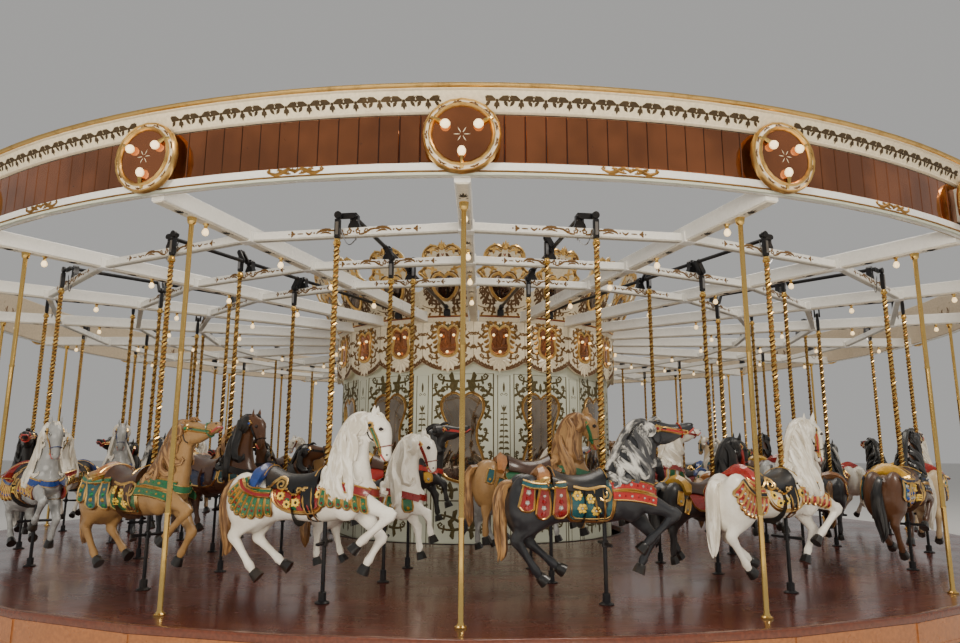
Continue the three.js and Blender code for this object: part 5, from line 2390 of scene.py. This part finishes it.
    def _mane(self) -> None:
        """Ridge of hair along the crest, thick locks over both sides of the neck, and a forelock."""
        c = self.carving
        rng = np.random.default_rng(self.seed)
        count = self._pick(9, 4)
        roots, tips = smooth_path(c.crest, count), smooth_path(c.tips, count)
        width = 0.047 if self.rich else 0.068
        locks = []
        for k in range(count):
            tip = tips[k] + rng.uniform(-0.012, 0.012, 2)
            locks.append(self._lock(
                roots[k] + (tips[k] - roots[k]) * 0.04, tip, 0.024 if k % 2 else -0.014,
                width * rng.uniform(0.9, 1.1)))
            if self.rich and k in (2, 5, 7):
                locks.append(self._lock(
                    roots[k], roots[k] + (tips[k] - roots[k]) * 0.5 + np.array([0.025, 0.0]), 0.018, 0.028))
        self._add(Role.MANE, *locks, *[lock.scaled(1, -1, 1) for lock in locks[::2]])
        line = smooth_path(upright(smooth_path(c.crest, 8)), self._pick(12, 8))
        self._add(Role.MANE, tube(line, np.linspace(0.03, 0.044, len(line)), self._pick(7, 5), 0.9))
        start = np.array([c.ear[0] + 0.004, 0.0, c.ear[1] + 0.004])
        end = np.array([c.eye[0] + 0.006, 0.0, c.eye[1] + 0.07])
        over = (start + end) / 2 + np.array([0.01, 0, 0.024])
        for k in ((-1, 0, 1) if self.rich else (0,)):
            path = smooth_path([
                start, over + np.array([0, 0.016 * k, 0]),
                end + np.array([0.012 * k, 0.026 * k, -0.008 * abs(k)])], 6)
            self._add(Role.MANE, tube(
                path, np.array([0.014, 0.019, 0.019, 0.016, 0.01, 0.003]), 5, 0.7, (0.1, 1.0, 0.1)))

    def _tail(self) -> None:
        """Full tail, fluted along its length, with loose locks beside it."""
        bend = 0.02 * math.sin(self.seed)
        rows, sides = self._pick(12, 8), self._pick(11, 7)
        path = smooth_path([
            (-0.77, 0.0, -0.1), (-0.83, 0.0, -0.115), (-0.862, bend, -0.2), (-0.868, bend, -0.34),
            (-0.862, 0.0, -0.49), (-0.85, -bend, -0.62), (-0.858, 0.0, -0.7)], rows)
        t = np.linspace(0, 1, rows)
        swell = np.interp(t, [0, 0.15, 0.4, 0.7, 0.9, 1.0], [0.03, 0.04, 0.062, 0.058, 0.034, 0.006])[:, None]
        flutes = 1 + 0.12 * np.cos(4 * np.arange(sides) * TAU / sides + 6 * t[:, None])
        self._add(Role.TAIL, tube(path, swell * flutes, sides, 0.85))
        for k in range(self._pick(3, 0)):
            sway = np.column_stack([
                -0.01 - 0.018 * t[4:], (k - 1) * 0.046 * np.sin(t[4:] * 3.0), 0.01 * np.cos(9 * t[4:] + k)])
            self._add(Role.TAIL, tube(
                path[4:] + sway, np.interp(t[4:], [t[4], 0.65, 1], [0.01, 0.02, 0.003]), 4))

    def _hooves(self) -> None:
        """Hooves that flare down from the pasterns."""
        for side, hind, _, joint, hoof in LEG_POINTS[self.legs]:
            b, c = np.array(joint), np.array(hoof)
            along = (c - b) / np.linalg.norm(c - b)
            toe = along + np.array([0.35 if hind else 0.15, 0.0])
            toe /= np.linalg.norm(toe)
            top = c + along * 0.006
            stations = [
                (*top, 0.033, 0.037), (*(top + toe * 0.012), 0.039, 0.043),
                (*(top + toe * 0.076), 0.049, 0.056)]
            self._add(Role.DARK, limb(stations, 4, self._pick(9, 6), side * 0.08))

    def _saddle(self) -> None:
        """Saddle with a raised cantle, the folded roll behind it, gold piping, and the girth."""
        s = np.linspace(0, 1, self._pick(9, 6))[:, None]
        a = np.linspace(-1, 1, self._pick(11, 7))[None, :]
        flare = 0.98 + 0.26 * np.exp(-((s - 0.62) / 0.22) ** 2)
        rise = 0.058 * np.cos(a * math.pi / 2) ** 0.8 * (
            0.9 + 0.62 * np.exp(-((s - 0.03) / 0.16) ** 2) + 0.35 * np.exp(-((s - 0.97) / 0.12) ** 2))
        x, angle, hump = np.broadcast_arrays(-0.465 + 0.44 * s, a * np.radians(52) * flare, rise)
        self._add(Role.SADDLE, slab(flank(x, angle, 0.026 + hump), flank(x, angle, 0.0)))
        arc = np.linspace(-1, 1, self._pick(15, 7))
        sides = self._pick(8, 6)
        roll = flank(-0.525 - 0.035 * arc**2, arc * np.radians(60), 0.044 + 0.014 * (1 - arc**2))
        folds = 1 + 0.13 * np.cos(3 * np.arange(sides) * TAU / sides + 5.0 * arc[:, None])
        self._add(Role.ROLL, tube(
            roll, (0.04 + 0.018 * (1 - arc**4))[:, None] * folds, sides, 1.0, (1.0, 0.1, 0.1)))
        if self.rich:
            for place, lift in mm((-462, 118), (-30, 98)):
                piping = flank(np.full(13, place), arc[1:-1] * np.radians(50), lift)
                self._add(Role.GOLD, tube(piping, 0.005, 3, 1.0, (1.0, 0.1, 0.1)))
        girth = flank(np.full(16, -0.215), np.linspace(0.35, TAU - 0.35, 16), 0.018)
        self._add(Role.SADDLE, tube(girth, 0.028, 4, 0.16, (1.0, 0.02, 0.02)))

    def _tongues(
            self, roots: Array, tips: Array, width: float, out: float,
            gems: Sequence[float] = (0.4, 0.78)) -> None:
        """Row of hanging tongues with gold edges and set stones.

        Args:
            roots: (x, z) of each root.
            tips: (x, z) of each tip.
            width: Width of one.
            out: Distance off the body.
            gems: Places of the stones along a tongue.
        """
        shares = (0.0, 0.45, 0.85, 0.97) if self.rich else (0.0, 0.6, 0.94)
        outlines = [tongue(root, tip, width, shares) for root, tip in zip(roots, tips)]
        self._wrapped(Role.TABS, [plate(o) for o in outlines], out)
        self._wrapped(Role.GOLD, [ridge(o, 0.0065, 1.0, True) for o in outlines], out + 0.002)
        for k, share in enumerate(gems):
            spots = roots + (tips - roots) * share
            stones = [stud(x, z, 0.16 * width + 0.003) for x, z in spots]
            self._wrapped(Role.GEM if k % 2 else Role.STONE, stones, out + 0.002)

    def _strap(self, role: Role, points: Points, width: float, out: float, rows: int = 8) -> None:
        """Flat strap with gold edges laid along (x, z) points on both sides.

        Args:
            role: What the strap is.
            points: Its line.
            width: Its width.
            out: Distance off the body.
            rows: Sections along it.
        """
        line = smooth_path(points, self._pick(rows, 5))
        way = np.gradient(line, axis=0)
        normal = np.column_stack([-way[:, 1], way[:, 0]]) / np.linalg.norm(way, axis=1, keepdims=True)
        across = normal * width / 2
        self._wrapped(role, [plate_between(line + across, line - across)], out)
        if self.rich:
            edges = [ridge(edge, 0.0055, 1.0) for edge in (line + across, line - across)]
            self._wrapped(Role.GOLD, edges, out + 0.003)

    def _bridle(self) -> None:
        """Cheek strap with gold edges from a rosette to the bit, throat lash and noseband."""
        c = self.carving
        temple, bit = np.array(c.temple), np.array(c.bit)
        role = Role.TABS if self.tack is Tack.FAN else Role.STRAP
        self._strap(role, [temple, (temple + bit) / 2 + np.array([0.012, 0]), bit], 0.03, 0.006, 6)
        self._wrapped(Role.GOLD, [rosette(*temple, 0.034, self._pick(8, 4)), stud(*bit, 0.022)], 0.01)
        self._wrapped(Role.DARK if self.tack is Tack.FAN else Role.GEM, [stud(*temple, 0.018)], 0.02)
        if self.rich:
            self._wrapped(Role.DARK, [ridge(smooth_path(c.throat, 7), 0.006, 1.0)], 0.003)
        count = self._pick(10, 7)
        span = np.arange(count) * TAU / count
        head = np.array(c.head)
        hx, hz, hw, hd = head[4]
        step = head[5, :2] - head[3, :2]
        step /= np.linalg.norm(step)
        ring = np.column_stack([
            hx + step[1] * hd * 1.12 * np.cos(span), hw * 1.12 * np.sin(span),
            hz - step[0] * hd * 1.12 * np.cos(span)])
        self._add(Role.STRAP, tube(ring, 0.011, 4, 0.5, (0.01 + step[0], 0.03, 0.02 + step[1]), closed=True))

    def _breast(self) -> None:
        """Breast strap round the chest, with tongues below it or a second jewelled row."""
        if self.tack is Tack.FLAPS:
            for line in (
                    mm((20, -115), (160, -105), (300, -125), (402, -150)),
                    mm((20, -190), (160, -195), (300, -215), (395, -240))):
                self._strap(Role.STRAP, line, 0.07, 0.014)
                spots = smooth_path(line, 9)[1:-1]
                self._wrapped(Role.STONE, [stud(x, z, 0.013) for x, z in spots[::2]], 0.018)
                self._wrapped(Role.GEM, [stud(x, z, 0.011) for x, z in spots[1::2]], 0.018)
        else:
            count = self._pick(6, 2)
            roots = smooth_path(
                mm((45, -150), (200, -165), (365, -205)) if self.rich else mm((120, -155), (280, -180)),
                count)
            tips = roots + np.column_stack([np.linspace(-0.01, 0.02, count), np.full(count, -0.135)])
            self._tongues(
                roots, tips, 0.058 if self.rich else 0.12, 0.02, (0.4, 0.78) if self.rich else (0.7,))
            line = mm((0, -105), (120, -120), (250, -140), (340, -165), (402, -185))
            self._strap(Role.STRAP, line, 0.066, 0.026)
        ends = self.hide.lay(np.array([(0.395, -0.165)]), 0.01)[0]
        chest = smooth_path([
            ends, (0.432, ends[1] * 0.55, -0.18), (0.446, 0, -0.185), (0.432, -ends[1] * 0.55, -0.18),
            ends * (1, -1, 1)], self._pick(9, 5))
        self._add(Role.STRAP, ribbon(chest, 0.06, 0.012))
        if self.rich:
            self._add(Role.GOLD, *[ribbon(chest + np.array([0, 0, d]), 0.007, 0.018) for d in (-0.03, 0.03)])

    def _cover(self) -> None:
        """Blanket on both sides, with gold lines round it, that reaches up under the saddle."""
        outline = smooth_path(BLANKETS[self.tack], self._pick(24, 12), closed=True)
        self._wrapped(Role.BLANKET, [plate(outline, self._pick(3, 2))], 0.012)
        self._wrapped(Role.GOLD, [ridge(outline, 0.0075, 1.0, True)], 0.014)
        if self.rich:
            inner = outline.mean(0) + (outline - outline.mean(0)) * np.array([0.9, 0.88])
            self._wrapped(Role.GOLD, [ridge(inner, 0.004, 1.0, True)], 0.014)

    def _leather(self) -> None:
        """Stirrup leather with two gold lines, hanging before the pole."""
        edge = np.array(mm(
            (-160, -120), (-35, -120), (-28, -250), (-22, -370), (-8, -455), (-55, -470), (-105, -395),
            (-140, -280), (-155, -190)))
        self._wrapped(Role.SADDLE, [plate(edge)], 0.012)
        if self.rich:
            lines = (mm((-135, -140), (-120, -280), (-80, -400)), mm((-62, -140), (-52, -280), (-34, -410)))
            self._wrapped(Role.GOLD, [ridge(smooth_path(points, 7), 0.005, 1.0) for points in lines], 0.014)

    def _sides(self) -> None:
        """Stirrup leather, flowers, and the carving behind the saddle, by the kind of tack."""
        if self.tack is Tack.FAN:
            self._fan()
        elif self.tack is Tack.FLAPS:
            self._flaps()
        else:
            roots = smooth_path(mm((-650, -120), (-550, -210)), 2)
            self._tongues(roots, roots + np.array([-0.035, -0.14]), 0.09, 0.018, (0.7,))
        self._leather()

    def _fan(self) -> None:
        """Fan of jewelled tongues under two straps, daisies on the blanket, a volute, beads and a bow."""
        daisies = mm((-322, -205), (-262, -270), (8, -190), (-185, -255))
        self._wrapped(Role.FLOWER, [rosette(x, z, 0.036, 8) for x, z in daisies], 0.004)
        self._wrapped(Role.DARK, [stud(x, z, 0.015) for x, z in daisies], 0.014)
        self._wrapped(Role.TABS, [leaf(x + 0.045, z - 0.02, 0.9, 0.045, 0.026) for x, z in daisies], 0.003)
        roots = smooth_path(mm((-668, -105), (-625, -165), (-540, -210), (-425, -222)), 8)
        tips = smooth_path(mm((-775, -205), (-715, -330), (-595, -385), (-430, -370)), 8)
        self._tongues(roots, tips, 0.062, 0.018, (0.4, 0.64, 0.86))
        for line, role, width in (
                (mm((-672, -70), (-635, -140), (-545, -190), (-415, -200)), Role.STRAP, 0.036),
                (mm((-630, -60), (-590, -125), (-520, -160), (-415, -168)), Role.TABS, 0.03)):
            self._strap(role, line, width, 0.028)
        self._volute(-0.33, -0.115, 0.056, (-0.5, -0.17))
        beads = smooth_path(mm((-275, -150), (-235, -185), (-190, -195), (-155, -175)), 7)
        bow = [curl(-0.105, -0.16, 0.03, 0.5, -1.1, 0.014), curl(-0.165, -0.16, 0.026, 0.0, 1.1, 0.012)]
        self._wrapped(Role.GOLD, [*[stud(x, z, 0.012) for x, z in beads], *bow], 0.014)

    def _flaps(self) -> None:
        """Three broad flaps behind the saddle, ring flowers on the blanket and two volutes."""
        for x, z in mm((-268, -190), (-235, -290), (-120, -310), (-165, -215)):
            petals = [
                stud(x + 0.026 * math.cos(a), z + 0.026 * math.sin(a), 0.017) for a in np.arange(6) * TAU / 6]
            self._wrapped(Role.FLOWER, petals, 0.005)
            self._wrapped(Role.STONE, [stud(x, z, 0.013)], 0.008)
        roots = np.array(mm((-665, -115), (-540, -125), (-405, -125)))
        tips = np.array(mm((-700, -310), (-560, -370), (-412, -370)))
        self._tongues(roots, tips, 0.128, 0.02, (0.25, 0.45, 0.65, 0.85))
        self._strap(Role.BLANKET, mm((-720, -85), (-620, -115), (-500, -115), (-360, -105)), 0.04, 0.026)
        self._volute(-0.055, -0.185, 0.066, (-0.3, -0.12))
        self._volute(-0.52, -0.1, 0.048, (-0.64, -0.085))

    def _volute(self, x: float, z: float, radius: float, tail: Pair) -> None:
        """Gold spiral with a tail that runs back from it, laid on both sides.

        Args:
            x: Centre.
            z: Centre.
            radius: Outer radius.
            tail: (x, z) of the tail's end.
        """
        run = [
            tail, ((tail[0] + x) / 2 - 0.01, (tail[1] + z) / 2 + 0.012),
            (x - 0.4 * radius, z + 0.95 * radius), (x + 0.3 * radius, z + 0.95 * radius)]
        self._wrapped(Role.GOLD, [
            curl(x, z, radius, 0.25, -1.6, 0.016, 14), stroke(run, 0.016, 7, 0.6, 0.6)], 0.012)


def plate_between(first: Array, second: Array) -> Shell:
    """Flat strip between two lines of (x, z) points, with its sides turned in."""
    columns = [
        (first, 0.012), (first, -0.002), ((first + second) / 2, -0.004), (second, -0.002), (second, 0.012)]
    return grid(np.stack([upright(c, y) for c, y in columns], axis=1))


def ribbon(path: Array, height: float, thick: float) -> Shell:
    """Flat upright band along a path round the horse: a box section turned to the path's outer side.

    Args:
        path: Points by 3.
        height: Width of the band.
        thick: Its thickness.

    Returns:
        The band.
    """
    tangent = np.gradient(path, axis=0)
    up = np.array([0.0, 0.0, 1.0])
    out = np.cross(tangent, up)
    out /= np.linalg.norm(out, axis=1, keepdims=True)
    corners = [(-0.5, -0.5), (0.5, -0.5), (0.5, 0.5), (-0.5, 0.5)]
    return grid(np.stack([path + out * thick * a + up * height * b for a, b in corners], axis=1))


@dataclass(frozen=True)
class Livery:
    """Finishes of one horse, a field for each part that differs from horse to horse."""

    coat: Finish
    mane: Finish
    tail: Finish
    strap: Finish
    tabs: Finish
    blanket: Finish
    saddle: Finish
    roll: Finish
    gem: Finish
    stone: Finish

    def finish(self, role: Role) -> Finish:
        """Finish of a part, one of the livery's own or one that all horses share."""
        return SHARED[role] if role in SHARED else getattr(self, role.value)


EYE = Jewel("glass_eye", (0.03, 0.012, 0.007))
DARK_HOOF = Paint("hoof_black", (0.012, 0.011, 0.01), 0.3, 0.5, 0.3)
PINK_GUM = Paint("mouth_pink", (0.45, 0.07, 0.06), 0.3, 0.5, 0.2)
DAISY = Paint("flower_yellow", (0.8, 0.52, 0.07), 0.35, 0.4, 0.15)
RED = Paint("deep_red_enamel", (0.22, 0.012, 0.01), 0.24, 0.6, 0.3)
BRIGHT_RED = Paint("red_enamel", (0.36, 0.02, 0.014), 0.24, 0.6, 0.25)
GREEN = Paint("green_enamel", (0.015, 0.115, 0.045), 0.26, 0.6, 0.3)
TEAL = Paint("teal_enamel", (0.012, 0.075, 0.085), 0.26, 0.6, 0.3)
BLUE = Paint("blue_enamel", (0.012, 0.045, 0.2), 0.26, 0.6, 0.3)
NAVY = Paint("navy_enamel", (0.01, 0.018, 0.05), 0.26, 0.6, 0.3)
BLACK = Paint("black_enamel", (0.007, 0.007, 0.008), 0.34, 0.15, 0.3)
TAN = Paint("tan_saddle", (0.33, 0.13, 0.035), 0.32, 0.5, 0.25)
BROWN = Paint("brown_saddle", (0.055, 0.022, 0.011), 0.32, 0.4, 0.3)
YELLOW = Paint("yellow_enamel", (0.58, 0.32, 0.035), 0.28, 0.5, 0.2)
IVORY = Paint("ivory_enamel", (0.7, 0.6, 0.42), 0.28, 0.5, 0.15)
RUBY = Jewel("ruby_glass", (0.5, 0.01, 0.015))
EMERALD = Jewel("emerald_glass", (0.02, 0.38, 0.12))
SAPPHIRE = Jewel("sapphire_glass", (0.03, 0.12, 0.6))
PEARL = Jewel("pearl_glass", (0.85, 0.85, 0.8))
AMBER = Jewel("amber_glass", (0.8, 0.45, 0.05))
WHITE_COAT = Coat("white_horse_coat", (0.8, 0.76, 0.67), (0.52, 0.46, 0.36))
CHARCOAL_COAT = Coat("charcoal_horse_coat", (0.02, 0.021, 0.024), (0.006, 0.006, 0.007), 0.1)
GREY_COAT = Coat("grey_horse_coat", (0.3, 0.3, 0.29), (0.12, 0.12, 0.12), 0.45)
BLACK_COAT = Coat("black_horse_coat", (0.018, 0.017, 0.017), (0.008, 0.008, 0.008))
TAN_COAT = Coat("tan_horse_coat", (0.3, 0.17, 0.065), (0.13, 0.065, 0.022))
BROWN_COAT = Coat("brown_horse_coat", (0.08, 0.032, 0.013), (0.03, 0.012, 0.006))
CREAM_COAT = Coat("cream_horse_coat", (0.58, 0.44, 0.26), (0.34, 0.23, 0.12))
WHITE_HAIR = Hair("white_mane", (0.8, 0.76, 0.67), (0.56, 0.5, 0.4), 5.0)
GREY_HAIR = Hair("grey_mane", (0.55, 0.53, 0.48), (0.045, 0.045, 0.047), 4.0)
BLACK_HAIR = Hair("black_mane", (0.028, 0.026, 0.025), (0.007, 0.007, 0.007))
TAN_HAIR = Hair("tan_tail", (0.36, 0.2, 0.08), (0.12, 0.055, 0.02))

SHARED = {Role.GOLD: GILT, Role.FLOWER: DAISY, Role.DARK: DARK_HOOF, Role.EYE: EYE, Role.MOUTH: PINK_GUM}
LIVERIES = {
    "white": Livery(WHITE_COAT, WHITE_HAIR, TAN_HAIR, RED, GREEN, RED, BLACK, BLUE, RUBY, AMBER),
    "charcoal": Livery(CHARCOAL_COAT, GREY_HAIR, TAN_HAIR, BRIGHT_RED, RED, TEAL, BLACK, TAN, RUBY, PEARL),
    "laced": Livery(
        WHITE_COAT, WHITE_HAIR, WHITE_HAIR, BLACK, BRIGHT_RED, IVORY, BLACK, BRIGHT_RED, RUBY, PEARL),
    "bay": Livery(BROWN_COAT, BLACK_HAIR, BLACK_HAIR, BLACK, TEAL, NAVY, BROWN, YELLOW, SAPPHIRE, PEARL),
    "tan": Livery(TAN_COAT, TAN_HAIR, TAN_HAIR, GREEN, TEAL, GREEN, BROWN, TAN, EMERALD, AMBER),
    "grey": Livery(GREY_COAT, WHITE_HAIR, GREY_HAIR, BLUE, RED, BLUE, BLACK, RED, SAPPHIRE, AMBER),
    "black": Livery(
        BLACK_COAT, BLACK_HAIR, BLACK_HAIR, BRIGHT_RED, YELLOW, BRIGHT_RED, BROWN, YELLOW, RUBY, PEARL),
    "cream": Livery(CREAM_COAT, WHITE_HAIR, WHITE_HAIR, TEAL, BLUE, TEAL, BROWN, BRIGHT_RED, EMERALD, PEARL)}
OUTER_LIVERIES = {
    20: "white", 1: "charcoal", 2: "laced", 3: "bay", 19: "tan", 18: "grey", 4: "cream", 5: "black",
    17: "black"}
OUTER_CYCLE = ("white", "bay", "grey", "tan", "cream", "charcoal", "laced", "black")
MIDDLE_CYCLE = ("black", "cream", "bay", "grey", "tan", "white", "charcoal")
INNER_CYCLE = ("grey", "tan", "black", "white", "bay")


@dataclass
class Stud:
    """All sixty horses, twenty in each of three rows."""

    outer_keep: int = 2900
    inner_keep: int = 850
    quick_share: float = 0.35
    fine_voxel: float = 0.0105
    plain_voxel: float = 0.013

    def _livery(self, seat: Seat) -> Livery:
        """Chooses the finishes of a horse by its place.

        Args:
            seat: The horse's place.

        Returns:
            Its livery.
        """
        if seat.row == 0:
            return LIVERIES[OUTER_LIVERIES.get(seat.rank, OUTER_CYCLE[seat.rank % len(OUTER_CYCLE)])]
        cycle = MIDDLE_CYCLE if seat.row == 1 else INNER_CYCLE
        return LIVERIES[cycle[(seat.rank * 3 + seat.row) % len(cycle)]]

    def build(self, seats: Sequence[Seat]) -> None:
        """Carves the patterns once and sets a horse on every seat.

        Args:
            seats: Places of all the horses.
        """
        thin = 1.0
        fine, plain = int(self.outer_keep * thin), int(self.inner_keep * thin)
        patterns = [
            Pattern(Pose.PROUD, Legs.BENT, Tack.FAN, self.fine_voxel, fine, 4).carve(),
            Pattern(Pose.REACHING, Legs.BENT, Tack.FLAPS, self.fine_voxel, fine, 7).carve(),
            Pattern(Pose.PROUD, Legs.STRETCHED, Tack.PLAIN, self.plain_voxel, plain, 2).carve(),
            Pattern(Pose.REACHING, Legs.STRETCHED, Tack.PLAIN, self.plain_voxel, plain, 3).carve(),
        ]
        for seat in seats:
            pattern = patterns[seat.rank % 2 if seat.row == 0 else 1 + seat.row]
            livery = self._livery(seat)
            made = Piece(f"{ROW_NAMES[seat.row]}_horse_{seat.rank:02d}_carving", seat.body, "painted_carving")
            for role, shell in pattern.parts:
                made.add(livery.finish(role), seat.set_down(shell, at_withers=True))
            made.build(seat.node)


@dataclass
class Studio:
    """Pale floor, soft light and the camera at the photograph's place."""

    lens: float = 26.8
    place: Triple = (0.167, -12.478, 1.535)
    pitch: float = math.radians(10.78)
    yaw: float = math.radians(0.44)
    roll: float = math.radians(0.18)
    sensor: float = 36.0
    far_clip: float = 300.0
    floor_reach: float = 250.0

    def build(self) -> None:
        """Makes the floor, world, lights and camera."""
        self._build_floor()
        self._build_light()
        self._build_camera()

    def _build_floor(self) -> None:
        """Wide pale floor, a little uneven in tone."""
        mesh = bpy.data.meshes.new("studio_floor")
        reach = self.floor_reach
        mesh.from_pydata([
            (-reach, -reach, 0), (reach, -reach, 0), (reach, reach, 0),
            (-reach, reach, 0)], [], [(0, 1, 2, 3)])
        floor = bpy.data.objects.new("studio_floor", mesh)
        bpy.context.scene.collection.objects.link(floor)
        mesh.materials.append(FLOOR.material())

    def _area(self, name: str, place: Triple, aim: Triple, size: float, power: float,
              colour: Colour = (1.0, 0.93, 0.82)) -> None:
        """Large soft lamp that looks at a point.

        Args:
            name: Its name.
            place: Where it stands.
            aim: The point.
            size: Diameter.
            power: Power in watts.
            colour: Colour of its light.
        """
        data = bpy.data.lights.new(name, "AREA")
        data.shape = "DISK"
        data.size = size
        data.energy = power
        data.color = colour
        lamp_object = bpy.data.objects.new(name, data)
        lamp_object.location = place
        direction = Vector(aim) - Vector(place)
        lamp_object.rotation_euler = direction.to_track_quat("-Z", "Y").to_euler()
        lamp_object.visible_glossy = size > 5.0
        bpy.context.scene.collection.objects.link(lamp_object)

    def _build_light(self) -> None:
        """Pale grey world and three large lamps."""
        world = bpy.data.worlds.new("studio_world")
        world.use_nodes = True
        world.node_tree.nodes["Background"].inputs["Color"].default_value = (0.78, 0.77, 0.75, 1.0)
        world.node_tree.nodes["Background"].inputs["Strength"].default_value = 0.52
        bpy.context.scene.world = world
        self._area("front_lamp", (-6.0, -18.0, 3.4), (0.0, -5.0, 1.6), 4.6, 1100)
        self._area("low_lamp", (2.0, -15.5, 1.7), (0.0, -5.0, 3.8), 3.0, 460)
        self._area("side_lamp", (13.0, -13.0, 17.0), (0.0, -3.0, 2.0), 6.0, 1900)
        self._area("top_lamp", (0.0, 2.0, 17.0), (0.0, 0.0, 2.0), 12.0, 1700)

    def _build_camera(self) -> None:
        """Camera turned by yaw, pitch and roll in its own order."""
        data = bpy.data.cameras.new("camera")
        data.lens = self.lens
        data.sensor_width = self.sensor
        data.clip_end = self.far_clip
        camera = bpy.data.objects.new("camera", data)
        camera.matrix_world = (
            Matrix.Translation(self.place) @ Matrix.Rotation(self.yaw, 4, "Z")
            @ Matrix.Rotation(math.pi / 2 + self.pitch, 4, "X") @ Matrix.Rotation(self.roll, 4, "Z"))
        bpy.context.scene.collection.objects.link(camera)
        bpy.context.scene.camera = camera


def main() -> None:
    """Builds the studio and the carousel in order, and logs the count of triangles."""
    logging.basicConfig(level=logging.INFO, format="%(name)s: %(message)s")
    Studio().build()
    for node in ("ground_frame", "mast", "hub"):
        dress_node(node, BLACK_IRON)
    for assembly in (RoundingBoards(), Medallions(), WheelFrame(), DrumTop(), DrumHousing(), Deck()):
        assembly.build()
    seats = [Seat(rank, row) for rank in range(1, RANKS + 1) for row in range(3)]
    poles = Poles()
    poles.build_sleeves(seats)
    for seat in seats:
        poles.build_one(seat)
    cranks = Cranks()
    for rank in range(1, RANKS + 1):
        cranks.build_rank(rank)
    Stud().build(seats)
    meshes = [o.data for o in bpy.data.objects if o.type == "MESH"]
    triangles = sum(len(m.loops) - 2 * len(m.polygons) for m in meshes)
    log.info("with the CAD nodes: %d triangles", triangles)
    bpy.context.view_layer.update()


if __name__ == "__main__":
    main()
